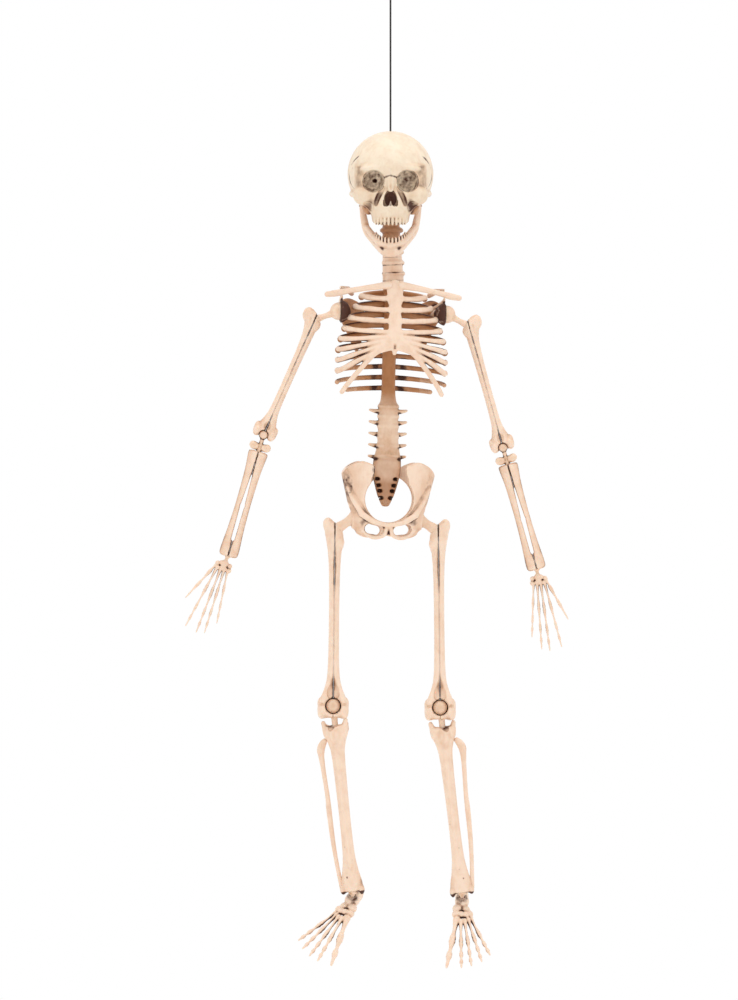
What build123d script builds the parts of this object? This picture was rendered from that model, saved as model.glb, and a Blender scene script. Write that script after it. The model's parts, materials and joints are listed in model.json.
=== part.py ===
from build123d import *

import os
from math import cos, pi, radians, sin, tan

# Poseable hanging skeleton. Millimetres, +Z up, the figure faces -Y.
# The origin is where the hook bears inside the top of the cord's loop, and everything hangs below it.
# Left and right are the figure's own, so its left side is at +X.

# Cord that the figure hangs on
cord_diameter = 2.0
strand_length = 152.0       # crown to the knot under the loop
loop_height = 28.0          # knot to the top of the loop
loop_radius = 6.2           # of the cord's centre line over the hook
loop_shoulder = 12.0        # knot to where the loop's two legs run parallel
knot_radius = 3.6
knot_height = 10.0
cord_hole_clearance = 0.3

# Skull and jaw
cranium_radius = 46.5
cranium_half_length = 58.0
skull_wall = 2.6
skull_base_drop = 76.0      # crown to the flat underside
face_half_width = 34.0
face_half_depth = 18.0
face_top_drop = 52.0
teeth_drop = 103.0          # crown to the biting edge
teeth_half_width = 18.8
teeth_half_depth = 19.0
face_front = 53.0
orbit_radius = 11.8
orbit_spacing = 18.3
orbit_drop = 55.3
nose_half_width = 7.4
nose_drop = 64.0
nose_height = 18.5
neck_socket_drop = 88.0     # crown to the neck ball
neck_socket_back = 2.0
neck_socket_radius = 12.5
jaw_hinge_drop = 81.0
jaw_hinge_forward = 5.0
jaw_hinge_reach = 30.5      # centre plane to the middle of a jaw eye
jaw_eye_radius = 4.8
jaw_eye_width = 4.2
jaw_lug_width = 4.5
jaw_pin_radius = 1.5
pin_clearance = 0.05
jaw_opening = 20.0          # degrees that the jaw hangs open at rest
jaw_front = 51.0            # hinge to the front of the chin
jaw_teeth_drop = 23.0       # hinge to the lower teeth when shut
jaw_depth = 16.0            # height of the jaw's body at the chin
jaw_wall = 5.0
jaw_angle_drop = 31.0

# Joints
ball_clearance = 0.3
turn_clearance = 0.3        # between a turning peg and its bore
face_gap = 0.4              # between faces that turn on each other
cup_wall = 1.1              # lining cups of the shoulders and hips
seat_wall = 1.8             # bone around a lining cup
neck_ball_radius = 9.0
neck_stem_radius = 4.8
neck_peg_radius = 5.0
neck_peg_length = 10.0
shoulder_ball_radius = 9.6
shoulder_stem_radius = 2.9
shoulder_stem_fall = 43.0   # degrees below the line out of the shoulder
elbow_ball_radius = 5.0
elbow_stem_radius = 2.0
wrist_ball_radius = 3.8
wrist_stem_radius = 1.6
hip_ball_radius = 8.6
hip_stem_radius = 4.4
hip_stem_fall = 32.0
knee_ball_radius = 8.2
knee_stem_radius = 3.2
ankle_ball_radius = 5.5
ankle_stem_radius = 2.4

# Torso, measured from the line through the shoulder balls
shoulder_drop = 196.4       # crown to that line
torso_shift = 2.4
torso_back = -1.0
torso_roll = 1.6            # degrees
torso_turn = 5.0
shoulder_reach = 58.4
hip_reach = 33.3
hip_fall = 222.2
hip_back = 4.0
collar_height = 31.0
collar_radius = 13.5
collar_thickness = 9.0
neck_radius = 11.3
neck_rings = 5
cage_top = 28.0
cage_bottom = 96.0
cage_half_width = 60.5
cage_half_depth = 41.0
cage_neck_half_width = 31.0
cage_neck_half_depth = 23.0
rib_thickness = 3.6
rib_height = 5.6
rib_pitch = 11.6
rib_tilt = 9.0              # degrees that the ribs rise towards the spine
rib_start = 17.5
front_ribs = 8
back_ribs = 10
sternum_half_width = 9.0
sternum_bottom = 28.0
sternum_tip = 42.0
spine_radius = 8.2
spine_back = 31.0
lumbar_half_width = 11.3
lumbar_back = 15.0
process_reach = 20.5
process_count = 5
process_pitch = 12.4
process_start = 106.0
sacrum_top = 172.0
sacrum_tip = 210.0
blade_height = 62.0
blade_width = 36.0
blade_thickness = 3.0
clavicle_radius = 3.3
clavicle_tip_reach = 71.5
clavicle_tip_height = 18.0
pelvis_top = 159.5
pelvis_bottom = 243.0
pelvis_half_width = 54.0
pelvis_half_depth = 33.0
pelvis_wall = 5.0
pelvis_ring_radius = 25.0
pubis_height = 17.0

# Arms
bone_wall = 1.6
humerus_length = 155.0      # shoulder ball to elbow ball, along the shaft
humerus_offset = 20.0       # shoulder ball to the shaft, outwards
humerus_half_width = 5.4
humerus_head_half_width = 9.6
humerus_head_lean = 5.0
elbow_half_width = 12.0
elbow_cap_half_width = 11.8
elbow_cap_height = 9.0
elbow_cap_drop = 9.0        # elbow ball to the top of the cap
elbow_peg_radius = 3.0
elbow_peg_length = 12.0
forearm_length = 135.0      # elbow ball to wrist ball
forearm_half_width = 8.4
forearm_top_half_width = 10.6
forearm_bottom_half_width = 10.0
forearm_half_depth = 6.2
forearm_slot = 3.2
wrist_drop = 8.0            # wrist ball to the top of the carpus
carpus_half_width = 11.0
palm_half_depth = 3.6
finger_radius = 2.0
finger_lengths = (65.0, 89.5, 90.5, 88.0, 75.0)     # wrist ball to tip, thumb first
finger_angles = (23.0, 9.0, 0.5, -5.0, -12.5)

# Legs
femur_length = 203.5        # hip ball to knee ball, along the shaft
femur_offset = 22.5
femur_half_width = 6.4
trochanter_half_width = 10.5
trochanter_lean = 3.0
knee_half_width = 17.0
condyle_drop = 15.0         # knee ball to the underside of the femur
shin_length = 200.0         # knee ball to ankle ball
tibia_top_drop = 17.0
tibia_head_half_width = 14.5
tibia_half_width = 6.6
ankle_half_width = 13.0
ankle_drop = 1.5            # ankle ball to the underside of the tibia
fibula_radius = 3.0
fibula_offset = 16.5
fibula_top_drop = 38.0
knee_peg_length = 12.0
ankle_peg_length = 9.0
foot_top_drop = 8.0         # ankle ball to the top of the heel block
heel_back = 18.0
toe_lengths = (92.0, 91.0, 89.0, 85.0, 79.0)        # ankle ball to tip, big toe first
toe_angles = (-12.0, -2.0, 5.0, 13.0, 21.0)
toe_radii = (3.6, 2.6, 2.5, 2.4, 2.4)
toe_drop = 20.0             # ankle ball to the toes' centre line, under the foot

# Pose in which the figure hangs, in degrees: (left, right)
arm_out = (15.6, 24.0)
forearm_out = (15.6, 16.4)
hand_out = (8.7, 22.0)
leg_out = (0.6, 0.6)
shin_out = (6.8, -6.0)
shin_turn = (0.0, 12.0)
foot_turn = (2.0, 36.0)
foot_pitch = 47.0           # the toes hang down

# Joint travel that the sockets are cut for, in degrees
elbow_bend = 100.0
wrist_bend = 55.0
knee_bend = 105.0
ankle_lift = 6.0            # toes up, from a foot square to the shin
ankle_point = 4.0           # further down than at rest
neck_nod = 22.0

cord_radius = cord_diameter / 2
knot_z = cord_radius - loop_height
crown_z = knot_z - strand_length
sides = (("left", 1), ("right", -1))
finished = []


def level(drop):
    """Height of a point that lies this far below the crown."""
    return crown_z - drop


def bone_frame(origin, outward, side, turn=0.0):
    """Plane whose +Z runs up a bone that leans outwards, with +Y at the bone's back."""
    lean = radians(outward)
    up = Vector(-side * sin(lean), 0, cos(lean))
    across = Vector(cos(lean), 0, side * sin(lean)).rotate(Axis((0, 0, 0), up), side * turn)
    return Plane(origin=origin, x_dir=across, z_dir=up)


def moved(frame, x, y, z):
    """The same directions, moved to a point given in the frame's own coordinates."""
    return Plane(origin=frame.from_local_coords((x, y, z)), x_dir=frame.x_dir, z_dir=frame.z_dir)


def side_section(frame):
    """The frame's YZ plane: its X is the frame's Y, and its Y is the frame's Z."""
    return Plane(origin=frame.origin, x_dir=frame.y_dir, z_dir=frame.x_dir)


def front_section(frame):
    """The frame's XZ plane: its X is the frame's X, and its Y is the frame's Z."""
    return Plane(origin=frame.origin, x_dir=frame.x_dir, z_dir=-frame.y_dir)


def leaning(frame, side, angle):
    """The frame turned about its own Y so that its -Z swings outwards by an angle."""
    turn = radians(angle)
    up = frame.z_dir * cos(turn) - frame.x_dir * (side * sin(turn))
    across = frame.x_dir * cos(turn) + frame.z_dir * (side * sin(turn))
    return Plane(origin=frame.origin, x_dir=across, z_dir=up)


def ovals(frame, sections, inset=0.0):
    """Faces of a loft through ovals: each section is (height, half width, half depth, x, y)."""
    faces = []
    for height, half_width, half_depth, x, y in sections:
        with BuildSketch(frame.offset(height)) as outline:
            with Locations((x, y)):
                Ellipse(half_width - inset, half_depth - inset)
        faces.append(outline.sketch.face())
    return faces


def swing_room(frame, radius, start, stop, reach):
    """Room for a stem that swings in the frame's YZ plane, in degrees from -Z towards +Y."""
    ends = [Vector(sin(radians(a)), -cos(radians(a))) * reach for a in (start, (start + stop) / 2, stop)]
    with BuildPart() as room:
        with BuildSketch(side_section(frame)):
            with BuildLine():
                Line((0, 0), ends[0])
                ThreePointArc(*ends)
                Line(ends[2], (0, 0))
            make_face()
        extrude(amount=radius, both=True)
        for angle in (start, stop):
            tilt = radians(angle)
            up = frame.z_dir * cos(tilt) - frame.y_dir * sin(tilt)
            with BuildSketch(Plane(origin=frame.origin, x_dir=frame.x_dir, z_dir=up)):
                Circle(radius)
            extrude(amount=-reach)
    return room.part


def finish(builder, label):
    """Labels a finished piece and keeps it for writing."""
    builder.part.label = label
    finished.append(builder.part)


# frames
torso = Plane(Location((torso_shift, torso_back, level(shoulder_drop)), (0, torso_roll, torso_turn)))
neck_ball_point = Vector(0, neck_socket_back, level(neck_socket_drop))
collar_point = torso.from_local_coords((0, 3.0, collar_height))
neck = Plane(origin=neck_ball_point, x_dir=torso.x_dir, z_dir=neck_ball_point - collar_point)
neck_length = (neck_ball_point - collar_point).length
jaw_hinge = Plane((0, -jaw_hinge_forward, level(jaw_hinge_drop)))
jaw = Plane(Location(jaw_hinge.origin, (jaw_opening, 0, 0)))

# cord
loop_top = cord_radius
strand_bottom = crown_z - skull_wall - 0.5
corner_lift = loop_radius * tan(radians(22.5))
loop_points = [
    (loop_radius, 0, knot_z + loop_shoulder),
    (loop_radius, 0, loop_top - loop_radius + corner_lift),
    (corner_lift, 0, loop_top),
    (-corner_lift, 0, loop_top),
    (-loop_radius, 0, loop_top - loop_radius + corner_lift),
    (-loop_radius, 0, knot_z + loop_shoulder),
    (-loop_radius * 0.4, 0, knot_z + loop_shoulder * 0.4),
]
cord_points = [(0, 0, strand_bottom), (0, 0, knot_z), *loop_points]
cord_radii = [22.0, 24.0, *[0.98 * loop_radius] * 4, 12.0]
print("cord radii", cord_radii)

with BuildPart() as hanging_cord:
    with BuildLine():
        FilletPolyline(*cord_points, radius=cord_radii)
    with BuildSketch(Plane((0, 0, strand_bottom))):
        Circle(cord_radius)
    sweep()
finish(hanging_cord, "hanging_cord")

with BuildPart(Plane((0, 0, knot_z))) as loop_knot:
    Cylinder(knot_radius, knot_height)
    fillet(loop_knot.edges(), 0.75 * knot_radius)
finish(loop_knot, "loop_knot")

with BuildPart(Plane((0, 0, strand_bottom))) as crown_knot:
    with Locations((0, 0, -knot_radius)):
        Sphere(knot_radius)
finish(crown_knot, "crown_knot")

# skull
cranium = Plane((0, 0, level(cranium_radius)))
base_z = level(skull_base_drop)
with BuildPart() as skull_hollow:
    with BuildSketch(cranium):
        Ellipse(cranium_radius - skull_wall, cranium_half_length - skull_wall)
        Rectangle(cranium_radius, 2 * cranium_half_length, align=(Align.MAX, Align.CENTER), mode=Mode.SUBTRACT)
    revolve(axis=Axis(cranium.origin, (0, 1, 0)))
    with Locations((0, 0, base_z + skull_wall)):
        Box(200, 200, 100, align=(Align.CENTER, Align.CENTER, Align.MAX), mode=Mode.SUBTRACT)
    for x in (-orbit_spacing, orbit_spacing):
        with Locations((x, -cranium_half_length + orbit_radius, level(orbit_drop))):
            Sphere(orbit_radius + skull_wall, mode=Mode.SUBTRACT)

with BuildPart() as skull_shell:
    with BuildSketch(cranium):
        Ellipse(cranium_radius, cranium_half_length)
        Rectangle(cranium_radius, 2 * cranium_half_length, align=(Align.MAX, Align.CENTER), mode=Mode.SUBTRACT)
    revolve(axis=Axis(cranium.origin, (0, 1, 0)))
    with Locations((0, 0, base_z)):
        Box(200, 200, 100, align=(Align.CENTER, Align.CENTER, Align.MAX), mode=Mode.SUBTRACT)
    face_floor = Plane((0, 0, level(teeth_drop)))
    face_sections = [
        (0, teeth_half_width, teeth_half_depth, 0, teeth_half_depth - face_front),
        (teeth_drop - 78, face_half_width, face_half_depth, 0, face_half_depth - face_front),
        (teeth_drop - face_top_drop, face_half_width, face_half_depth, 0, face_half_depth - face_front - 2),
    ]
    loft(ovals(face_floor, face_sections))
    for x in (-jaw_hinge_reach, jaw_hinge_reach):
        lug_x = x - (1 if x > 0 else -1) * (jaw_eye_width / 2 + face_gap + jaw_lug_width / 2)
        with BuildSketch(Plane((lug_x, 0, 0), x_dir=(0, 1, 0), z_dir=(1, 0, 0))):
            with Locations((-jaw_hinge_forward, level(jaw_hinge_drop))):
                Circle(jaw_eye_radius)
                Rectangle(2 * jaw_eye_radius, 12, align=(Align.CENTER, Align.MIN))
        extrude(amount=jaw_lug_width / 2, both=True)
    add(skull_hollow.part, mode=Mode.SUBTRACT)
    with Locations((0, neck_socket_back, level(neck_socket_drop) - 3)):
        Cylinder(neck_socket_radius, neck_socket_drop + 3 - skull_base_drop + skull_wall,
                 align=(Align.CENTER, Align.CENTER, Align.MIN))
    with BuildSketch(Plane.XY.offset(level(teeth_drop))):
        with Locations((0, teeth_half_depth - face_front)):
            Ellipse(teeth_half_width - jaw_wall, teeth_half_depth - jaw_wall)
    extrude(amount=12, mode=Mode.SUBTRACT)
    for x in (-orbit_spacing, orbit_spacing):
        with Locations((x, -cranium_half_length + orbit_radius, level(orbit_drop))):
            Sphere(orbit_radius, mode=Mode.SUBTRACT)
        with BuildSketch(Plane.XZ.offset(cranium_half_length - orbit_radius)):
            with Locations((x, level(orbit_drop))):
                Circle(orbit_radius)
        extrude(amount=40, mode=Mode.SUBTRACT)
    with BuildSketch(Plane.XZ.offset(face_front - 8)):
        with BuildLine():
            nose_foot = level(nose_drop + nose_height)
            Line((-nose_half_width, nose_foot), (nose_half_width, nose_foot))
            Line((nose_half_width, nose_foot), (0, nose_foot + nose_height))
            Line((0, nose_foot + nose_height), (-nose_half_width, nose_foot))
        make_face()
    extrude(amount=40, mode=Mode.SUBTRACT)
    with BuildSketch(Plane.XY.offset(crown_z - 8)):
        Circle(cord_radius + cord_hole_clearance)
    extrude(amount=12, mode=Mode.SUBTRACT)
    with Locations(neck_ball_point):
        Sphere(neck_ball_radius + ball_clearance, mode=Mode.SUBTRACT)
    add(swing_room(neck, neck_stem_radius + ball_clearance, -neck_nod, neck_nod, 30), mode=Mode.SUBTRACT)
    with BuildSketch(Plane((-50, 0, 0), x_dir=(0, 1, 0), z_dir=(1, 0, 0))):
        with Locations((-jaw_hinge_forward, level(jaw_hinge_drop))):
            Circle(jaw_pin_radius)
    extrude(amount=100, mode=Mode.SUBTRACT)

seam = Plane.XZ.offset(-neck_socket_back)
for label, keep in (("skull_face", Keep.TOP), ("skull_back", Keep.BOTTOM)):
    with BuildPart() as skull_half:
        add(skull_shell.part)
        split(bisect_by=seam, keep=keep)
    finish(skull_half, label)

# jaw
jaw_reach = jaw_hinge_reach + jaw_eye_width / 2
with BuildPart() as jaw_bone:
    with BuildSketch(jaw.offset(-60)):
        with Locations((0, 0)):
            Ellipse(jaw_reach, jaw_front)
            Ellipse(jaw_reach - jaw_eye_width, jaw_front - jaw_wall * 1.6, mode=Mode.SUBTRACT)
            Rectangle(200, 100, align=(Align.CENTER, Align.MIN), mode=Mode.SUBTRACT)
        for x in (-jaw_hinge_reach, jaw_hinge_reach):
            with Locations((x, 0)):
                Rectangle(jaw_eye_width, 12, align=(Align.CENTER, Align.MIN))
    extrude(amount=80)
    with BuildSketch(side_section(jaw), mode=Mode.PRIVATE) as jaw_outline:
        with BuildLine():
            Polyline((jaw_eye_radius, 0), (jaw_eye_radius * 0.6, -jaw_angle_drop),
                     (-jaw_front - 2, -jaw_teeth_drop - jaw_depth), (-jaw_front - 2, -jaw_teeth_drop),
                     (-jaw_front * 0.3, -jaw_teeth_drop + 4), (-jaw_front * 0.2, -jaw_eye_radius * 1.6),
                     (-jaw_eye_radius, 0), close=True)
        make_face()
        Circle(jaw_eye_radius)
        Circle(jaw_pin_radius + pin_clearance, mode=Mode.SUBTRACT)
    extrude(to_extrude=jaw_outline.sketch, amount=60, both=True, mode=Mode.INTERSECT)
finish(jaw_bone, "jaw")

with BuildPart() as jaw_pins:
    for side in (1, -1):
        pin_start = jaw_hinge_reach - jaw_eye_width / 2 - face_gap - jaw_lug_width
        pin_plane = Plane(jaw_hinge.from_local_coords((side * pin_start, 0, 0)),
                          x_dir=(0, 1, 0), z_dir=(side, 0, 0))
        with BuildSketch(pin_plane):
            Circle(jaw_pin_radius)
        extrude(amount=jaw_lug_width + face_gap + jaw_eye_width)
finish(jaw_pins, "jaw_pins")

# neck
with BuildPart(neck) as neck_column:
    Sphere(neck_ball_radius)
    with Locations((0, 0, -neck_length / 2)):
        Cylinder(neck_stem_radius, neck_length)
    column_top = -neck_ball_radius - 7
    column_length = neck_length + column_top - face_gap
    with Locations((0, 0, column_top)):
        Cylinder(neck_radius - 2, column_length, align=(Align.CENTER, Align.CENTER, Align.MAX))
    ring_pitch = column_length / neck_rings
    for ring in range(neck_rings):
        with Locations((0, 0, column_top - ring * ring_pitch)):
            Cylinder(neck_radius, ring_pitch * 0.72, align=(Align.CENTER, Align.CENTER, Align.MAX))
    with Locations((0, 0, -neck_length)):
        Cylinder(neck_peg_radius, neck_peg_length, align=(Align.CENTER, Align.CENTER, Align.MAX))
finish(neck_column, "neck_column")

# rib cage
cage_spots = [0.0, 0.22, 0.5, 0.8, 1.0]
cage_height = cage_top + cage_bottom
cage_sections = []
for spot in cage_spots:
    swell = sin(pi / 2 * min(1.0, spot / 0.62)) ** 1.1
    half_width = cage_neck_half_width + (cage_half_width - cage_neck_half_width) * swell
    half_depth = cage_neck_half_depth + (cage_half_depth - cage_neck_half_depth) * swell
    cage_sections.append((cage_top - spot * cage_height, half_width, half_depth, 0, 0))

shoulder_points = {name: torso.from_local_coords((side * shoulder_reach, 0, 0)) for name, side in sides}
shoulder_seat = shoulder_ball_radius + 2 * ball_clearance + cup_wall
hip_seat = hip_ball_radius + 2 * ball_clearance + cup_wall

with BuildPart() as cage_inside:
    loft(ovals(torso, cage_sections, rib_thickness))
with BuildPart() as cage_shell:
    loft(ovals(torso, cage_sections))
    add(cage_inside.part, mode=Mode.SUBTRACT)


def rib_heights(rib):
    """Heights of a front rib at the breastbone and at the flank."""
    flank = rib_start - rib * rib_pitch
    if rib < 4:
        return flank, flank
    return rib_start - 3.4 * rib_pitch - (rib - 4) * 0.3 * rib_pitch, flank


tilted = torso.rotated((rib_tilt, 0, 0))
rib_plane = front_section(tilted)
with BuildPart() as spine_column:
    loft(ovals(torso, [
        (-sacrum_tip, 4.5, 3.5, 0, spine_back - 6),
        (-(sacrum_top + sacrum_tip) / 2, 15, 5, 0, spine_back - 4),
        (-sacrum_top, 16, 8, 0, lumbar_back + 3),
        (-(sacrum_top + process_start) / 2, lumbar_half_width, lumbar_half_width - 1.5, 0, lumbar_back),
        (-process_start, lumbar_half_width - 1, lumbar_half_width - 2, 0, lumbar_back + 6),
        (-cage_bottom + 8, spine_radius, spine_radius, 0, spine_back - 3),
        (-cage_bottom / 2, spine_radius, spine_radius, 0, spine_back),
        (cage_top - 6, spine_radius, spine_radius, 0, spine_back - 9),
    ]), ruled=True)
    for process in range(process_count):
        height = -process_start - process * process_pitch
        with BuildSketch(side_section(torso)):
            with Locations((lumbar_back + 6, height)):
                Ellipse(3.4, 2.4)
        extrude(amount=process_reach, both=True)
finish(spine_column, "spine_column")

seat_room = {}
for side_name, side in sides:
    with BuildPart() as room:
        with Locations(shoulder_points[side_name]):
            Sphere(shoulder_seat + seat_wall + 0.1)
    seat_room[side_name] = room.part

with BuildPart() as rib_cage_front:
    with BuildSketch(rib_plane):
        with BuildLine():
            Polyline((-sternum_half_width, cage_top), (sternum_half_width, cage_top),
                     (sternum_half_width * 0.7, 5), (sternum_half_width, -sternum_bottom),
                     (0, -sternum_tip), (-sternum_half_width, -sternum_bottom),
                     (-sternum_half_width * 0.7, 5), close=True)
        make_face()
        for side in (1, -1):
            for rib in range(front_ribs):
                inner, outer = rib_heights(rib)
                with BuildLine():
                    Polyline((0, inner + rib_height / 2), (side * 30, (inner + outer) / 2 + rib_height / 2),
                             (side * 70, outer + rib_height / 2), (side * 70, outer - rib_height / 2),
                             (side * 30, (inner + outer) / 2 - rib_height / 2), (0, inner - rib_height / 2),
                             close=True)
                make_face()
            with BuildLine():
                arch_top = -sternum_bottom
                arch_foot = rib_start - back_ribs * rib_pitch + 6
                Polyline((side * 4, arch_top), (side * 10, arch_top), (side * 56, arch_foot + 12),
                         (side * 53, arch_foot + 4), (side * 30, (arch_top + arch_foot) / 2 - 2),
                         (side * 2, arch_top - 6), close=True)
            make_face()
    extrude(amount=90)
    add(cage_shell.part, mode=Mode.INTERSECT)
    split(bisect_by=Plane(origin=torso.origin, z_dir=torso.y_dir), keep=Keep.BOTTOM)
    for name, side in sides:
        add(seat_room[name], mode=Mode.SUBTRACT)
finish(rib_cage_front, "rib_cage_front")

with BuildPart() as rib_cage_back:
    with BuildSketch(rib_plane):
        for rib in range(back_ribs):
            with Locations((0, rib_start - rib * rib_pitch)):
                Rectangle(150, rib_height)
        with Locations((0, cage_top)):
            Rectangle(2 * spine_radius, cage_height, align=(Align.CENTER, Align.MAX))
    extrude(amount=-90)
    add(cage_shell.part, mode=Mode.INTERSECT)
    split(bisect_by=Plane(origin=torso.origin, z_dir=torso.y_dir), keep=Keep.TOP)
    collar = moved(torso, 0, 3.0, collar_height - face_gap)
    with BuildSketch(collar):
        Circle(collar_radius)
        Rectangle(2 * spine_radius, cage_half_depth * 0.62, align=(Align.CENTER, Align.MIN))
    extrude(amount=-collar_thickness)
    add(spine_column.part, mode=Mode.SUBTRACT)
    for name, side in sides:
        add(seat_room[name], mode=Mode.SUBTRACT)
    with BuildSketch(neck.offset(-neck_length)):
        Circle(neck_peg_radius + turn_clearance)
    extrude(amount=-neck_peg_length - 2, mode=Mode.SUBTRACT)
finish(rib_cage_back, "rib_cage_back")

# shoulder girdle and pelvis
for side_name, side in sides:
    shoulder = Plane(origin=shoulder_points[side_name], x_dir=torso.x_dir, z_dir=torso.z_dir)
    blade_back = cage_half_depth + 1.0
    with BuildPart() as shoulder_blade:
        with BuildSketch(front_section(moved(torso, 0, blade_back, 0))):
            with BuildLine():
                Polyline((side * (shoulder_reach - blade_width), 8), (side * (shoulder_reach - 6), 14),
                         (side * (shoulder_reach - 2), 2), (side * (shoulder_reach - 26), 10 - blade_height),
                         close=True)
            make_face()
        extrude(amount=-blade_thickness)
        with BuildSketch(Plane(origin=torso.origin, x_dir=torso.y_dir, z_dir=torso.x_dir)
                         .offset(side * (shoulder_reach - 9))):
            with Locations((0, 3)):
                Rectangle(blade_back + 1, 12, align=(Align.MIN, Align.CENTER))
        extrude(amount=side * 7)
        with BuildSketch(front_section(moved(torso, 0, blade_back, 0))):
            with Locations((side * (shoulder_reach - 2), clavicle_tip_height - 2)):
                Rectangle(14, 9)
        extrude(amount=blade_back)
        with Locations(shoulder):
            Sphere(shoulder_seat + seat_wall)
        with BuildSketch(Plane(origin=shoulder.origin, x_dir=torso.y_dir, z_dir=side * torso.x_dir)):
            Rectangle(60, 60)
        extrude(amount=60, mode=Mode.SUBTRACT)
        with Locations(shoulder):
            Sphere(shoulder_seat, mode=Mode.SUBTRACT)
        add(cage_shell.part, mode=Mode.SUBTRACT)
        add(cage_inside.part, mode=Mode.SUBTRACT)
    finish(shoulder_blade, f"{side_name}_shoulder_blade")

    inner_end = Vector(*torso.from_local_coords((side * 6.5, -cage_neck_half_depth + 2, cage_top + 2.5)))
    outer_end = Vector(*torso.from_local_coords((side * clavicle_tip_reach, 0, clavicle_tip_height)))
    bend_a = Vector(*torso.from_local_coords((side * 26, -cage_neck_half_depth - 4, cage_top)))
    bend_b = Vector(*torso.from_local_coords((side * 50, -cage_neck_half_depth + 10, cage_top - 5)))
    with BuildPart() as clavicle:
        with BuildLine():
            FilletPolyline(inner_end, bend_a, bend_b, outer_end, radius=26)
        with BuildSketch(Plane(origin=inner_end, z_dir=bend_a - inner_end)):
            Circle(clavicle_radius)
        sweep()
        add(cage_shell.part, mode=Mode.SUBTRACT)
        add(shoulder_blade.part, mode=Mode.SUBTRACT)
        with Locations(shoulder):
            Sphere(shoulder_seat + seat_wall, mode=Mode.SUBTRACT)
    finish(clavicle, f"{side_name}_clavicle")

hip_points = {name: torso.from_local_coords((side * hip_reach, hip_back, -hip_fall)) for name, side in sides}
with BuildPart() as pelvis:
    bowl = [
        (-pelvis_bottom - 1, hip_reach - 6, pelvis_half_depth * 0.62, 0, 2),
        (-hip_fall, hip_reach + 3, pelvis_half_depth * 0.8, 0, 2),
        (-pelvis_top + 1, pelvis_half_width, pelvis_half_depth, 0, 2),
    ]
    loft(ovals(torso, bowl), ruled=True)
    with BuildSketch(front_section(torso), mode=Mode.PRIVATE) as hip_outline:
        with BuildLine():
            top = -pelvis_top
            low = -pelvis_bottom
            Polyline((12, top - 16), (30, top), (48, top - 2), (60, top - 22), (52, top - 44), (46, -hip_fall),
                     (22, low), (-22, low), (-46, -hip_fall), (-52, top - 44), (-60, top - 22),
                     (-48, top - 2), (-30, top), (-12, top - 16), close=True)
        make_face()
        with Locations((0, low + pubis_height + pelvis_ring_radius)):
            Circle(pelvis_ring_radius, mode=Mode.SUBTRACT)
        with Locations((14, low + 10), (-14, low + 10)):
            Ellipse(7, 4.2, mode=Mode.SUBTRACT)
    extrude(to_extrude=hip_outline.sketch, amount=80, both=True, mode=Mode.INTERSECT)
    with BuildSketch(side_section(torso), mode=Mode.PRIVATE) as slope:
        with BuildLine():
            Polyline((-40, low), (60, low), (60, top + 10), (-14, top + 10), (-40, low + 34), close=True)
        make_face()
    extrude(to_extrude=slope.sketch, amount=80, both=True, mode=Mode.INTERSECT)
    loft(ovals(torso, bowl, pelvis_wall), ruled=True, mode=Mode.SUBTRACT)
    for name, side in sides:
        with Locations(hip_points[name]):
            Sphere(hip_seat + seat_wall)
    for name, side in sides:
        hip = Plane(origin=hip_points[name], x_dir=torso.y_dir, z_dir=side * torso.x_dir)
        with BuildSketch(hip):
            Circle(hip_seat + seat_wall + 6)
        extrude(amount=60, mode=Mode.SUBTRACT)
        with Locations(hip_points[name]):
            Sphere(hip_seat, mode=Mode.SUBTRACT)
    add(spine_column.part, mode=Mode.SUBTRACT)
finish(pelvis, "pelvis")


# limbs
def lining_cup(origin, side, ball_radius, label):
    """Half-round cup that lines a seat and turns in it with the ball."""
    inner = ball_radius + ball_clearance
    with BuildPart(Plane(origin=origin, x_dir=torso.x_dir, z_dir=torso.z_dir)) as cup:
        Sphere(inner + cup_wall)
        Sphere(inner, mode=Mode.SUBTRACT)
        with Locations((side * 50, 0, 0)):
            Box(100, 100, 100, mode=Mode.SUBTRACT)
    finish(cup, label)


def split_bone(shell, frame, labels):
    """Two halves of a bone, parted along the frame's YZ plane."""
    for label, keep in zip(labels, (Keep.TOP, Keep.BOTTOM)):
        with BuildPart() as bone_half:
            add(shell)
            split(bisect_by=Plane(origin=frame.origin, z_dir=frame.x_dir), keep=keep)
        finish(bone_half, label)


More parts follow.
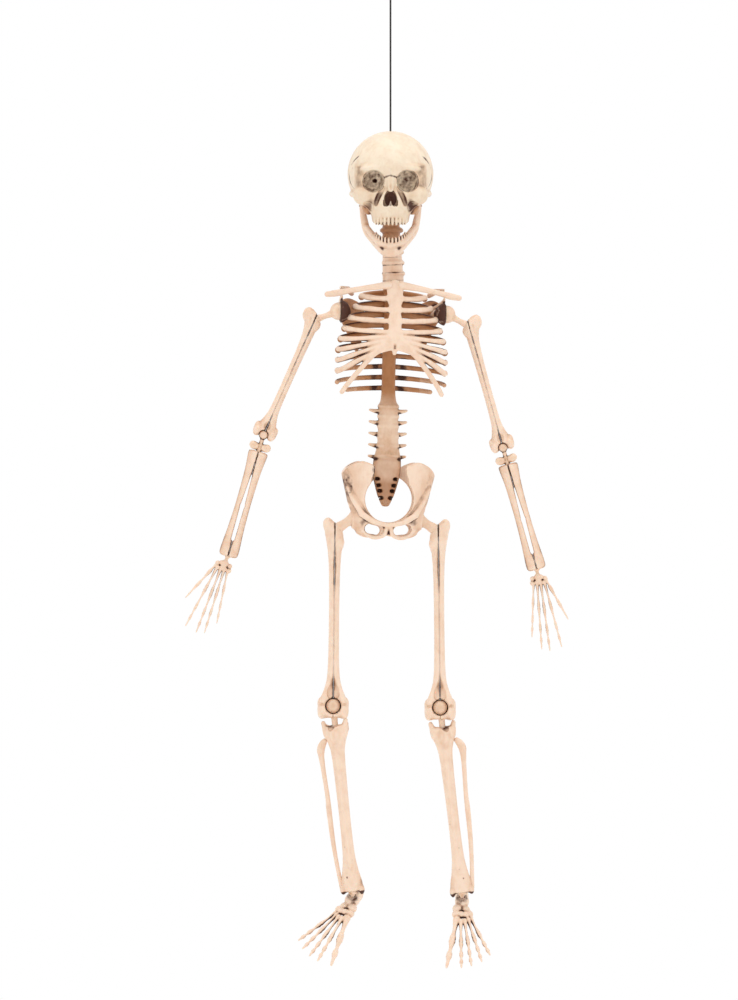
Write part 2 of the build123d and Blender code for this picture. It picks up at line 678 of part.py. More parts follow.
for index, (side_name, side) in enumerate(sides):
    # upper arm
    lining_cup(shoulder_points[side_name], side, shoulder_ball_radius, f"{side_name}_shoulder_cup")
    arm = bone_frame(shoulder_points[side_name], arm_out[index], side)
    shaft = moved(arm, side * humerus_offset, 0, 0)
    elbow = moved(shaft, 0, 0, -humerus_length)
    fore = bone_frame(elbow.origin, forearm_out[index], side)
    wrist = moved(fore, 0, 0, -forearm_length)
    hand = bone_frame(wrist.origin, hand_out[index], side)
    stem = leaning(arm, side, 90 - shoulder_stem_fall)
    stem_length = humerus_offset / cos(radians(shoulder_stem_fall)) + 2
    with BuildPart() as humerus_shell:
        head_x = side * humerus_head_lean
        head_top = -humerus_offset * tan(radians(shoulder_stem_fall)) + humerus_head_half_width * 0.9
        loft(ovals(shaft, [
            (head_top, humerus_head_half_width * 0.62, humerus_head_half_width * 0.62, head_x, 0),
            (head_top - 7, humerus_head_half_width, humerus_head_half_width, head_x * 0.8, 0),
            (head_top - 22, humerus_half_width + 1.6, humerus_half_width + 1.6, head_x * 0.2, 0),
            (-humerus_length / 2, humerus_half_width, humerus_half_width, 0, 0),
            (-humerus_length + 26, humerus_half_width, humerus_half_width, 0, 0),
            (-humerus_length + 4, elbow_half_width, elbow_ball_radius + 2.4, 0, 0),
            (-humerus_length - 2.5, elbow_half_width - 1, elbow_ball_radius + 2.0, 0, 0),
        ]), ruled=True)
        loft(ovals(shaft, [
            (head_top - 32, humerus_half_width, humerus_half_width, 0, 0),
            (-humerus_length + 30, humerus_half_width, humerus_half_width, 0, 0),
        ], bone_wall), ruled=True, mode=Mode.SUBTRACT)
        with BuildSketch(stem):
            Circle(shoulder_stem_radius)
        extrude(amount=-stem_length, mode=Mode.SUBTRACT)
        with Locations(elbow):
            Sphere(elbow_ball_radius + ball_clearance, mode=Mode.SUBTRACT)
        add(swing_room(fore, elbow_stem_radius + ball_clearance, -elbow_bend - 3, 3, 30), mode=Mode.SUBTRACT)
    split_bone(humerus_shell.part, shaft, (f"{side_name}_humerus_plus", f"{side_name}_humerus_minus"))

    with BuildPart(stem) as shoulder_ball:
        Sphere(shoulder_ball_radius)
        Cylinder(shoulder_stem_radius, stem_length, align=(Align.CENTER, Align.CENTER, Align.MAX))
    finish(shoulder_ball, f"{side_name}_shoulder_ball")

    # elbow, forearm and wrist
    with BuildPart(fore) as elbow_ball:
        Sphere(elbow_ball_radius)
        with Locations((0, 0, -elbow_cap_drop / 2)):
            Cylinder(elbow_stem_radius, elbow_cap_drop)
        with BuildSketch(fore.offset(-elbow_cap_drop)):
            Ellipse(elbow_cap_half_width, forearm_half_depth)
        extrude(amount=-elbow_cap_height)
        with Locations((0, 0, -elbow_cap_drop - elbow_cap_height)):
            Cylinder(elbow_peg_radius, elbow_peg_length, align=(Align.CENTER, Align.CENTER, Align.MAX))
    finish(elbow_ball, f"{side_name}_elbow_ball")

    fore_top = -elbow_cap_drop - elbow_cap_height - face_gap
    with BuildPart() as forearm_shell:
        loft(ovals(fore, [
            (fore_top, forearm_top_half_width, forearm_half_depth, 0, 0),
            (fore_top - 20, forearm_half_width + 1.2, forearm_half_depth, 0, 0),
            (-forearm_length / 2 - 8, forearm_half_width, forearm_half_depth - 0.8, 0, 0),
            (-forearm_length + 14, forearm_half_width + 0.6, forearm_half_depth, 0, 0),
            (-forearm_length + 2, forearm_bottom_half_width, forearm_half_depth + 0.6, 0, 0),
            (-forearm_length - 2, forearm_bottom_half_width - 2, forearm_half_depth, 0, 0),
        ]), ruled=True)
        with BuildSketch(front_section(moved(fore, 0, 0, (fore_top - 14 - forearm_length + 18) / 2))):
            SlotOverall(forearm_length - 18 + fore_top - 12, forearm_slot, rotation=90)
        extrude(amount=20, both=True, mode=Mode.SUBTRACT)
        with BuildSketch(fore.offset(fore_top)):
            Circle(elbow_peg_radius + turn_clearance)
        extrude(amount=-elbow_peg_length - 1, mode=Mode.SUBTRACT)
        with Locations(wrist):
            Sphere(wrist_ball_radius + ball_clearance, mode=Mode.SUBTRACT)
        add(swing_room(hand, wrist_stem_radius + ball_clearance, -wrist_bend - 2, wrist_bend + 2, 20),
            mode=Mode.SUBTRACT)
    split_bone(forearm_shell.part, fore, (f"{side_name}_forearm_plus", f"{side_name}_forearm_minus"))

    with BuildPart(hand) as wrist_ball:
        Sphere(wrist_ball_radius)
        Cylinder(wrist_stem_radius, wrist_drop + 8, align=(Align.CENTER, Align.CENTER, Align.MAX))
    finish(wrist_ball, f"{side_name}_wrist_ball")

    with BuildPart() as hand_bones:
        with BuildSketch(hand.offset(-wrist_drop)):
            Ellipse(carpus_half_width - 1.5, palm_half_depth)
        with BuildSketch(hand.offset(-wrist_drop - 9)):
            Ellipse(carpus_half_width, palm_half_depth)
        with BuildSketch(hand.offset(-wrist_drop - 14)):
            Ellipse(carpus_half_width - 1, palm_half_depth - 0.6)
        loft(ruled=True)
        for finger_length, finger_angle in zip(finger_lengths, finger_angles):
            finger = leaning(hand, side, finger_angle)
            start = wrist_drop + 7
            root = moved(finger, side * finger_angle * 0.12, 0, -start)
            with BuildSketch(root):
                Ellipse(finger_radius * 1.2, finger_radius)
            with BuildSketch(root.offset(start - finger_length)):
                Ellipse(finger_radius * 0.7, finger_radius * 0.7)
            loft(ruled=True)
        with BuildSketch(hand):
            Circle(wrist_stem_radius + turn_clearance)
        extrude(amount=-wrist_drop - 9, mode=Mode.SUBTRACT)
    finish(hand_bones, f"{side_name}_hand")

    # thigh
    lining_cup(hip_points[side_name], side, hip_ball_radius, f"{side_name}_hip_cup")
    leg = bone_frame(hip_points[side_name], leg_out[index], side)
    thigh = moved(leg, side * femur_offset, 0, 0)
    knee = moved(thigh, 0, 0, -femur_length)
    knee_pivot = bone_frame(knee.origin, shin_out[index], side)
    shin = bone_frame(knee.origin, shin_out[index], side, shin_turn[index])
    ankle = moved(shin, 0, 0, -shin_length)
    ankle_pivot = Plane(Location(ankle.origin, (0, 0, side * foot_turn[index])))
    foot = ankle_pivot.rotated((foot_pitch, 0, 0))
    neck_line = leaning(leg, side, 90 - hip_stem_fall)
    neck_reach = femur_offset / cos(radians(hip_stem_fall)) + 1
    with BuildPart() as femur_shell:
        lean_x = side * trochanter_lean
        loft(ovals(thigh, [
            (-3, 6.5, 6.5, lean_x * 1.6, 0),
            (-9, trochanter_half_width, 9.5, lean_x, 0),
            (-22, trochanter_half_width, 9.5, 0, 0),
            (-44, femur_half_width + 1, femur_half_width + 1, 0, 0),
            (-femur_length + 45, femur_half_width, femur_half_width, 0, 0),
            (-femur_length + 12, knee_half_width - 3, condyle_drop - 2.5, 0, 0),
            (-femur_length - 2, knee_half_width, condyle_drop - 1, 0, 0),
            (-femur_length - condyle_drop, knee_half_width - 4, condyle_drop - 8.5, 0, 0),
        ]), ruled=True)
        loft(ovals(thigh, [
            (-50, femur_half_width, femur_half_width, 0, 0),
            (-femur_length + 48, femur_half_width, femur_half_width, 0, 0),
        ], bone_wall), ruled=True, mode=Mode.SUBTRACT)
        with BuildSketch(neck_line):
            Circle(hip_stem_radius)
        extrude(amount=-neck_reach, mode=Mode.SUBTRACT)
        with Locations(knee):
            Sphere(knee_ball_radius + ball_clearance, mode=Mode.SUBTRACT)
        with BuildSketch(front_section(knee)):
            Circle(knee_ball_radius - 1.5)
        extrude(amount=40, mode=Mode.SUBTRACT)
        add(swing_room(knee_pivot, knee_stem_radius + ball_clearance, -5, knee_bend + 3, 40),
            mode=Mode.SUBTRACT)
    split_bone(femur_shell.part, thigh, (f"{side_name}_femur_plus", f"{side_name}_femur_minus"))

    with BuildPart(neck_line) as hip_ball:
        Sphere(hip_ball_radius)
        Cylinder(hip_stem_radius, neck_reach, align=(Align.CENTER, Align.CENTER, Align.MAX))
    finish(hip_ball, f"{side_name}_hip_ball")

    # knee and shin
    with BuildPart(shin) as knee_ball:
        Sphere(knee_ball_radius)
        Cylinder(knee_stem_radius, tibia_top_drop + knee_peg_length,
                 align=(Align.CENTER, Align.CENTER, Align.MAX))
    finish(knee_ball, f"{side_name}_knee_ball")

    with BuildPart() as tibia:
        loft(ovals(shin, [
            (-tibia_top_drop, tibia_head_half_width - 1, 10, 0, 0),
            (-tibia_top_drop - 10, tibia_head_half_width, 11, 0, 0),
            (-tibia_top_drop - 32, tibia_half_width + 1.5, 7.5, 0, 0),
            (-shin_length + 45, tibia_half_width - 0.4, 6.2, 0, 0),
            (-shin_length + 14, ankle_half_width - 2, 8, 0, 0),
            (-shin_length - ankle_drop, ankle_half_width - 1, 7.2, 0, 0),
        ]), ruled=True)
        with BuildSketch(shin):
            Circle(knee_stem_radius + turn_clearance)
        extrude(amount=-tibia_top_drop - knee_peg_length - 1, mode=Mode.SUBTRACT)
        with Locations(ankle):
            Sphere(ankle_ball_radius + ball_clearance, mode=Mode.SUBTRACT)
        add(swing_room(ankle_pivot, ankle_stem_radius + ball_clearance, -ankle_lift - 3,
                       foot_pitch + ankle_point + 3, 30), mode=Mode.SUBTRACT)
    finish(tibia, f"{side_name}_tibia")

    fibula_line = moved(shin, side * fibula_offset, 0, 0)
    with BuildPart() as fibula:
        loft(ovals(fibula_line, [
            (-fibula_top_drop + 10, fibula_radius, fibula_radius, -side * 3, 0),
            (-fibula_top_drop - 6, fibula_radius, fibula_radius, 0, 0),
            (-shin_length + 34, fibula_radius, fibula_radius, -side * 1.0, 0),
            (-shin_length + 6, fibula_radius, fibula_radius, -side * 4.5, 0),
        ]), ruled=True)
        add(tibia.part, mode=Mode.SUBTRACT)
    finish(fibula, f"{side_name}_fibula")

    # ankle and foot: the foot's frame hangs toes down from the ankle
    with BuildPart(foot) as ankle_ball:
        Sphere(ankle_ball_radius)
        Cylinder(ankle_stem_radius, foot_top_drop + ankle_peg_length,
                 align=(Align.CENTER, Align.CENTER, Align.MAX))
    finish(ankle_ball, f"{side_name}_ankle_ball")

    with BuildPart() as foot_bones:
        with BuildSketch(side_section(foot)):
            with BuildLine():
                Polyline((heel_back, -toe_drop - 6), (heel_back, -foot_top_drop - 2),
                         (heel_back - 6, -foot_top_drop), (-16, -foot_top_drop), (-34, -toe_drop + 3),
                         (-46, -toe_drop - 2), (-46, -toe_drop - 6), (0, -toe_drop - 4), close=True)
            make_face()
        extrude(amount=11, both=True)
        for toe_length, toe_angle, toe_radius in zip(toe_lengths, toe_angles, toe_radii):
            toe = moved(foot, side * toe_angle * 0.45, -20, -toe_drop)
            heading = radians(toe_angle)
            forward = (foot.x_dir * (side * sin(heading)) - foot.y_dir * cos(heading)).normalized()
            toe_plane = Plane(origin=toe.origin, z_dir=forward)
            with BuildSketch(toe_plane):
                Circle(toe_radius)
            with BuildSketch(toe_plane.offset(toe_length - 20)):
                Circle(toe_radius * 0.8)
            loft(ruled=True)
        with BuildSketch(foot):
            Circle(ankle_stem_radius + turn_clearance)
        extrude(amount=-foot_top_drop - ankle_peg_length - 1, mode=Mode.SUBTRACT)
    finish(foot_bones, f"{side_name}_foot")

os.makedirs("parts", exist_ok=True)
for piece in finished:
    export_step(piece, f"parts/{piece.label}.step")
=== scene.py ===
import bpy
import json
import math
import numpy as np
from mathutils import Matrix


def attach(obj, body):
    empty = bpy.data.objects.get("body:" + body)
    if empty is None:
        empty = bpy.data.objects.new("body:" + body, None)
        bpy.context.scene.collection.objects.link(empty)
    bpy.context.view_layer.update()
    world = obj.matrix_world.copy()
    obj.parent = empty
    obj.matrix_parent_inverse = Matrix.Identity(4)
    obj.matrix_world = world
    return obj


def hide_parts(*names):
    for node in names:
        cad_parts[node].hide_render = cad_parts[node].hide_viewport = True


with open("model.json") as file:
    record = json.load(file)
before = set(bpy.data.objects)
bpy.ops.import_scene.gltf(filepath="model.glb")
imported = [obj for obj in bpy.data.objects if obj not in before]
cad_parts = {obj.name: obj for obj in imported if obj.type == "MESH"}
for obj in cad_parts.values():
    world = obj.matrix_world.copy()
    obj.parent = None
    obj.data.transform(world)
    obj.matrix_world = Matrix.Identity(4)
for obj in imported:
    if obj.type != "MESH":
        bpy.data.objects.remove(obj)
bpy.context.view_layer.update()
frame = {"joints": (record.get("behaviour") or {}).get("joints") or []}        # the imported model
import openvdb

mm = 0.001
joints = {joint["name"]: joint for joint in frame["joints"]}
sides = (("left", 1), ("right", -1))     # the figure's own left is at +X


# places taken from the frame
def placeOf(joint):
    return np.array(joints[joint]["pos_m"], float)


def axisOf(joint):
    axis = np.array(joints[joint]["axis"], float)
    return axis / np.linalg.norm(axis)


def frameOf(origin, xDir, zDir):     # origin and a matrix whose columns are the bone's own x, y and z
    z = zDir / np.linalg.norm(zDir)
    x = xDir - z * np.dot(xDir, z)
    x /= np.linalg.norm(x)
    return np.asarray(origin, float), np.column_stack([x, np.cross(z, x), z])


# clay: a block of signed distances in millimetres
def softMin(a, b, soft):     # the smaller of two distances, with a fillet of about soft mm where they meet
    blend = np.clip(0.5 + 0.5 * (b - a) / soft, 0, 1)
    return b * (1 - blend) + a * blend - soft * blend * (1 - blend)


def softMax(a, b, soft):
    return -softMin(-a, -b, soft)


def smoothCurve(points, count):     # Catmull-Rom curve through rows of numbers, evenly numbered
    points = np.asarray(points, float)
    ends = np.vstack([2 * points[0] - points[1], points, 2 * points[-1] - points[-2]])
    t = np.linspace(0, len(points) - 1, count)
    i = np.minimum(t.astype(int), len(points) - 2)
    u = (t - i)[:, None]
    p0, p1, p2, p3 = ends[i], ends[i + 1], ends[i + 2], ends[i + 3]
    return 0.5 * (2 * p1 + (p2 - p0) * u + (2 * p0 - 5 * p1 + 4 * p2 - p3) * u ** 2
                  + (3 * p1 - p0 - 3 * p2 + p3) * u ** 3)


def waves(x, y, z, size, seed, octaves=3):     # smooth noise from -1 to 1: turned sine waves multiplied and summed
    draw = np.random.default_rng(seed)
    total, weight = 0.0, 0.0
    for octave in range(octaves):
        strength = 0.55 ** octave
        turn = np.linalg.qr(draw.normal(size=(3, 3)))[0] * (2 * math.pi / (size * 0.5 ** octave))
        shift = draw.uniform(0, 6.28, 3)
        a = x * turn[0, 0] + y * turn[0, 1] + z * turn[0, 2] + shift[0]
        b = x * turn[1, 0] + y * turn[1, 1] + z * turn[1, 2] + shift[1]
        c = x * turn[2, 0] + y * turn[2, 1] + z * turn[2, 2] + shift[2]
        total = total + strength * (np.sin(a + 1.3 * np.sin(b)) * np.cos(b + 1.1 * np.sin(c)))
        weight += strength
    return total / weight


class Clay:
    far = 12.0     # mm, the largest distance kept

    def __init__(self, low, high, cell):
        self.cell = cell
        self.low = np.array(low, float) - 3 * cell
        counts = (np.ceil((np.array(high, float) + 3 * cell - self.low) / cell) + 1).astype(int)
        self.axes = [self.low[i] + cell * np.arange(counts[i]) for i in range(3)]
        self.field = np.full(counts, self.far, np.float32)

    def block(self, low, high, reach):     # the cells within reach of a box, and their coordinates
        cut = []
        for i in range(3):
            start = int(np.floor((low[i] - reach - self.low[i]) / self.cell))
            stop = int(np.ceil((high[i] + reach - self.low[i]) / self.cell)) + 1
            cut.append(slice(min(max(start, 0), len(self.axes[i])), min(max(stop, 0), len(self.axes[i]))))
        x, y, z = (axis[piece] for axis, piece in zip(self.axes, cut))
        return tuple(cut), x[:, None, None], y[None, :, None], z[None, None, :]

    def put(self, shape, low, high, soft=1.0, cut=False, reach=7.0):
        where, x, y, z = self.block(low, high, reach)
        if min(part.stop - part.start for part in where) < 1:
            return
        distance = shape(x, y, z)
        old = self.field[where]
        self.field[where] = softMax(old, -distance, soft) if cut else softMin(old, distance, soft)

    def lump(self, centre, radii, soft=1.0, cut=False):     # ellipsoid
        centre, radii = np.array(centre, float), np.array(radii, float) * np.ones(3)

        def shape(x, y, z):
            own = [x - centre[0], y - centre[1], z - centre[2]]
            k0 = np.sqrt(sum((own[i] / radii[i]) ** 2 for i in range(3)))
            k1 = np.sqrt(sum((own[i] / radii[i] ** 2) ** 2 for i in range(3)))
            return k0 * (k0 - 1) / np.maximum(k1, 1e-6)
        self.put(shape, centre - radii, centre + radii, soft, cut)

    def rod(self, a, b, ra, rb, soft=1.0, cut=False, flat=None):     # round rod that tapers from ra to rb
        a, b = np.array(a, float), np.array(b, float)
        self.put(self.rodShape(a, b, ra, rb, flat), np.minimum(a, b) - max(ra, rb),
                 np.maximum(a, b) + max(ra, rb), soft, cut)

    @staticmethod
    def rodShape(a, b, ra, rb, flat=None):     # flat = (direction, share) thins the rod in one direction
        along = b - a
        length2 = max(float(along @ along), 1e-9)

        def shape(x, y, z):
            dx, dy, dz = x - a[0], y - a[1], z - a[2]
            t = np.clip((dx * along[0] + dy * along[1] + dz * along[2]) / length2, 0, 1)
            dx, dy, dz = dx - t * along[0], dy - t * along[1], dz - t * along[2]
            if flat is None:
                return np.sqrt(dx * dx + dy * dy + dz * dz) - (ra + (rb - ra) * t)
            way, share = flat
            w = dx * way[0] + dy * way[1] + dz * way[2]
            rest = np.sqrt(np.maximum(dx * dx + dy * dy + dz * dz - w * w, 0) + (w / share) ** 2)
            return (rest - (ra + (rb - ra) * t)) * (0.5 + 0.5 * share)
        return shape

    def strand(self, points, soft=1.0, cut=False, count=16, flat=None):     # rows of x, y, z, radius
        rows = smoothCurve(points, count)
        self.chain([(rows[i, :3], rows[i + 1, :3], rows[i, 3], rows[i + 1, 3]) for i in range(count - 1)],
                   soft, cut, flat)

    def chain(self, rods, soft=1.0, cut=False, flat=None):     # rods joined hard to each other, softly to the rest
        widest = max(max(rod[2], rod[3]) for rod in rods)
        ends = np.array([rod[0] for rod in rods] + [rod[1] for rod in rods])
        where, x, y, z = self.block(ends.min(0) - widest, ends.max(0) + widest, 7.0)
        shape = tuple(part.stop - part.start for part in where)
        if min(shape) < 1:
            return
        own = np.full(shape, self.far, np.float32)
        base = [part.start for part in where]
        for a, b, ra, rb in rods:
            inner, x, y, z = self.block(np.minimum(a, b) - max(ra, rb), np.maximum(a, b) + max(ra, rb), 7.0)
            local = tuple(slice(part.start - base[i], part.stop - base[i]) for i, part in enumerate(inner))
            local = tuple(slice(max(part.start, 0), part.stop) for part in local)
            distance = self.rodShape(np.asarray(a), np.asarray(b), ra, rb, flat)(x, y, z)
            own[local] = np.minimum(own[local], distance[tuple(slice(0, n) for n in own[local].shape)])
        old = self.field[where]
        self.field[where] = softMax(old, -own, soft) if cut else softMin(old, own, soft)

    def lathe(self, rows, soft=1.0, cut=False):     # rows of z, half width, half depth, x, y: an oval bone along z
        rows = np.array(rows, float)
        rows = rows[np.argsort(rows[:, 0])]
        low = [(rows[:, 3] - rows[:, 1]).min(), (rows[:, 4] - rows[:, 2]).min(), rows[0, 0]]
        high = [(rows[:, 3] + rows[:, 1]).max(), (rows[:, 4] + rows[:, 2]).max(), rows[-1, 0]]
        fine = smoothCurve(rows, 160)

        def shape(x, y, z):
            flatZ = z.ravel()
            wide, deep, cx, cy = (np.interp(flatZ, fine[:, 0], fine[:, i])[None, None, :] for i in (1, 2, 3, 4))
            u, v = (x - cx) / wide, (y - cy) / deep
            ring = np.sqrt(u * u + v * v)
            side = (ring - 1) * np.minimum(wide, deep) * (0.55 + 0.45 * ring / np.maximum(ring, 1))
            caps = np.maximum(rows[0, 0] - z, z - rows[-1, 0])
            return softMax(side, caps + 0 * side, 2.5)
        self.put(shape, low, high, soft, cut)

    def slot(self, a, b, ra, rb, across, soft=1.5):     # a long hole right through, across one axis
        a, b = np.array(a, float), np.array(b, float)
        keep = [i for i in range(3) if i != across]
        along = (b - a)[keep]

        def shape(x, y, z):
            p = (x, y, z)
            du, dv = p[keep[0]] - a[keep[0]], p[keep[1]] - a[keep[1]]
            t = np.clip((du * along[0] + dv * along[1]) / (along @ along), 0, 1)
            flat = np.sqrt((du - t * along[0]) ** 2 + (dv - t * along[1]) ** 2) - (ra + (rb - ra) * t)
            return flat + 0 * p[across]
        low, high = np.minimum(a, b) - max(ra, rb), np.maximum(a, b) + max(ra, rb)
        low[across], high[across] = -60, 60
        self.put(shape, low, high, soft, True)

    def halve(self, axis, keep, place=0.0, gap=0.12, round=0.9):     # one side of a parting plane, edge rounded
        other = Clay.__new__(Clay)
        other.cell, other.low, other.axes = self.cell, self.low, self.axes
        index = [None, None, None]
        index[axis] = slice(None)
        wall = (keep * (place - self.axes[axis]) + gap)[tuple(index)]
        other.field = softMax(self.field, wall + 0 * self.field, round)
        return other

    def sample(self, field, points):     # distances read at points by trilinear steps
        spot = (points - self.low) / self.cell
        top = np.array(field.shape) - 1.001
        spot = np.clip(spot, 0, top)
        i = spot.astype(int)
        f = spot - i
        total = 0
        for corner in range(8):
            dx, dy, dz = corner & 1, corner >> 1 & 1, corner >> 2 & 1
            weight = (np.where(dx, f[:, 0], 1 - f[:, 0]) * np.where(dy, f[:, 1], 1 - f[:, 1])
                      * np.where(dz, f[:, 2], 1 - f[:, 2]))
            total = total + weight * field[i[:, 0] + dx, i[:, 1] + dy, i[:, 2] + dz]
        return total

    def skin(self):     # points, quads, hollow (0 open, 1 deep) and edge (1 on sharp ridges)
        grid = openvdb.FloatGrid()
        grid.copyFromArray(np.ascontiguousarray(self.field, np.float32))
        points, _, quads = grid.convertToPolygons(isovalue=0.0, adaptivity=0.0)
        points = points.astype(float) * self.cell + self.low
        step = 0.6
        normals = np.column_stack([
            self.sample(self.field, points + step * way) - self.sample(self.field, points - step * way)
            for way in np.eye(3)])
        normals /= np.maximum(np.linalg.norm(normals, axis=1), 1e-9)[:, None]
        # hollow: how enclosed each point is, an ambient-occlusion measure that the materials turn into painted
        # shade and brown wash
        hollow = np.zeros(len(points))
        for reach, weight in ((1.2, 0.3), (2.6, 0.3), (5.0, 0.25), (9.0, 0.15)):
            room = self.sample(self.field, points + normals * reach)
            hollow += weight * np.clip(1 - room / (reach * 0.92), 0, 1.4)
        # edge: thin ridges, which the materials lighten as rub wear and painted highlight
        inside = -self.sample(self.field, points - normals * 1.6)
        edge = np.clip(1 - inside / 1.3, 0, 1)
        return points, quads.astype(np.int64), hollow, edge


# materials
class Field:     # a value in a node tree, so that shader maths reads as arithmetic
    def __init__(self, tree, socket):
        self.tree, self.socket = tree, socket

    def made(self, kind, operation=None, inputs=(), output=0, **settings):     # any other node
        node = self.tree.nodes.new(kind)
        if operation is not None:
            node.operation = operation
        for name, value in settings.items():
            setattr(node, name, value)
        for place, value in (inputs.items() if isinstance(inputs, dict) else enumerate(inputs)):
            if isinstance(value, Field):
                self.tree.links.new(value.socket, node.inputs[place])
            elif value is not None:
                node.inputs[place].default_value = value
        return Field(self.tree, node.outputs[output])

    def math(self, operation, *others):
        return self.made("ShaderNodeMath", operation, (self, *others))

    def __add__(self, other): return self.math("ADD", other)
    def __radd__(self, other): return self.math("ADD", other)
    def __sub__(self, other): return self.math("SUBTRACT", other)
    def __rsub__(self, other): return self.made("ShaderNodeMath", "SUBTRACT", (other, self))
    def __mul__(self, other): return self.math("MULTIPLY", other)
    def __rmul__(self, other): return self.math("MULTIPLY", other)
    def __truediv__(self, other): return self.math("DIVIDE", other)
    def __rtruediv__(self, other): return self.made("ShaderNodeMath", "DIVIDE", (other, self))
    def __pow__(self, other): return self.math("POWER", other)

    def ramp(self, low, high, start=0.0, end=1.0):     # low..high becomes start..end, held beyond
        return self.made("ShaderNodeMapRange", None, (self, low, high, start, end))

    def toward(self, a, b):     # colour a at 0 and b at 1
        return self.made("ShaderNodeMix", None, {0: self, 6: a, 7: b}, 2, data_type="RGBA")


def newMaterial(name):
    material = bpy.data.materials.new(name)
    material.use_nodes = True
    tree = material.node_tree
    shader = tree.nodes["Principled BSDF"]
    start = Field(tree, tree.nodes.new("ShaderNodeTexCoord").outputs["Object"])
    return material, tree, shader, start


def noise(start, size, detail=3.0, rough=0.55, warp=0.0):     # noise of about size metres, near 0.5
    return start.made("ShaderNodeTexNoise", None,
                      {"Vector": start, "Scale": 1 / size, "Detail": detail, "Roughness": rough,
                       "Distortion": warp}, 0)


bone = {
    "skull": {"pale": (0.84, 0.71, 0.55, 1), "warm": (0.66, 0.44, 0.27, 1), "stainAndShadow": (0.075, 0.022, 0.010, 1),
              "washAndShade": 0.55},
    "limb": {"pale": (0.87, 0.67, 0.52, 1), "warm": (0.70, 0.43, 0.27, 1), "stainAndShadow": (0.070, 0.022, 0.012, 1),
             "washAndShade": 0.45},
    # trunk: a darker, browner copy of the bone for the pieces inside the cage, painted shade
    "trunk": {"pale": (0.84, 0.63, 0.47, 1), "warm": (0.64, 0.38, 0.22, 1), "stainAndShadow": (0.050, 0.014, 0.006, 1),
              "washAndShade": 0.7},
}


def boneMaterial(name, look):     # moulded plastic: hollows darker and warmer from a brown wash and painted shade, ridges lighter from rub wear and painted highlight
    material, tree, shader, start = newMaterial(name)
    hollow = start.made("ShaderNodeAttribute", attribute_name="hollow", output=2)
    edge = start.made("ShaderNodeAttribute", attribute_name="edge", output=2)
    line = start.made("ShaderNodeAttribute", attribute_name="line", output=2)
    shade = start.made("ShaderNodeAttribute", attribute_name="shade", output=2)
    broad = noise(start, 0.030, 3.0)
    patch = noise(start, 0.009, 4.0, 0.6, 0.4)
    grain = noise(start, 0.0012, 3.0, 0.6)
    streak = start.made("ShaderNodeTexNoise", None,
                        {"Vector": start.made("ShaderNodeVectorMath", "MULTIPLY", (start, (1, 1, 0.22))),
                         "Scale": 1 / 0.004, "Detail": 3.0, "Roughness": 0.6}, 0)
    # darker and warmer where the surface is enclosed: part brown wash, part painted shade; lighter on thin ridges:
    # part rub wear, part painted highlight
    washAndShade = hollow * 2.1 + (patch - 0.5) * 0.75 + (broad - 0.5) * 0.55 - edge * 0.3
    warmth = (washAndShade + look["washAndShade"] * 0.25).ramp(0.05, 0.55) * 0.75 + (streak.ramp(0.5, 0.75) * 0.18)
    depth = (washAndShade + line * 1.1 + line * (patch - 0.5) * 1.4).ramp(0.38, 0.92)
    tint = warmth.ramp(0, 1).toward(look["pale"], look["warm"])
    # the tan colours are warm painted shade, laid on where the shade attribute is high
    tan = warmth.ramp(0, 1).toward((0.50, 0.235, 0.095, 1), (0.33, 0.125, 0.040, 1))
    tint = (shade + (broad - 0.5) * shade * 0.6).ramp(0, 1).toward(tint, tan)
    speck = grain.ramp(0.62, 0.72) * hollow.ramp(0.02, 0.3) * 0.35
    tint = speck.toward(tint, look["stainAndShadow"])
    # the darkest colour, reached in deep hollows and in the painted marks, stands for dark stain and painted
    # shadow
    colour = depth.toward(tint, look["stainAndShadow"])
    tree.links.new(colour.socket, shader.inputs["Base Color"])
    rough = 0.42 + depth * 0.25 + (patch - 0.5) * 0.18
    tree.links.new(rough.socket, shader.inputs["Roughness"])
    bump = start.made("ShaderNodeBump", None,
                      {"Strength": 0.35, "Distance": 0.0006,
                       "Height": grain * 0.35 + patch * 0.9 + streak * 0.4 - line * 1.2})
    tree.links.new(bump.socket, shader.inputs["Normal"])
    shader.inputs["Specular IOR Level"].default_value = 0.42
    shader.inputs["Subsurface Weight"].default_value = 0.12
    shader.inputs["Subsurface Radius"].default_value = (1.0, 0.5, 0.25)
    shader.inputs["Subsurface Scale"].default_value = 0.003
    return material


skullBone = boneMaterial("skull cream bone", bone["skull"])
limbBone = boneMaterial("limb cream bone", bone["limb"])
trunkShadedBone = boneMaterial("trunk bone with painted shade", bone["trunk"])


# putting a skin into the scene
def addObject(name, data):
    obj = bpy.data.objects.new(name, data)
    bpy.context.scene.collection.objects.link(obj)
    return obj


def pieceFrom(name, clay, place, side, body, nodes, material, line=None, shade=None):
    points, quads, hollow, edge = clay.skin()
    origin, matrix = place
    marks = line(points) if line else np.zeros(len(points))
    tone = shade(points) if shade else np.zeros(len(points))
    local = points * [side, 1, 1] if side < 0 else points
    if side < 0:
        quads = quads[:, ::-1]
    world = origin + (local * mm) @ matrix.T
    mesh = bpy.data.meshes.new(name)
    mesh.vertices.add(len(world))
    mesh.vertices.foreach_set("co", world.ravel())
    mesh.loops.add(quads.size)
    mesh.loops.foreach_set("vertex_index", quads.ravel())
    mesh.polygons.add(len(quads))
    mesh.polygons.foreach_set("loop_start", np.arange(0, quads.size, 4))
    mesh.polygons.foreach_set("use_smooth", np.ones(len(quads), bool))
    mesh.update(calc_edges=True)
    for key, values in (("hollow", hollow), ("edge", edge), ("line", marks), ("shade", tone)):
        mesh.attributes.new(key, "FLOAT", "POINT").data.foreach_set("value", np.asarray(values, np.float32))
    mesh.materials.append(material)
    obj = addObject(name, mesh)
    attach(obj, body)
    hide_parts(*nodes)
    return obj


# arms, in bone axes: x outwards, y back, z up
humerusLook = {"offset": 20.0, "length": 155.0}


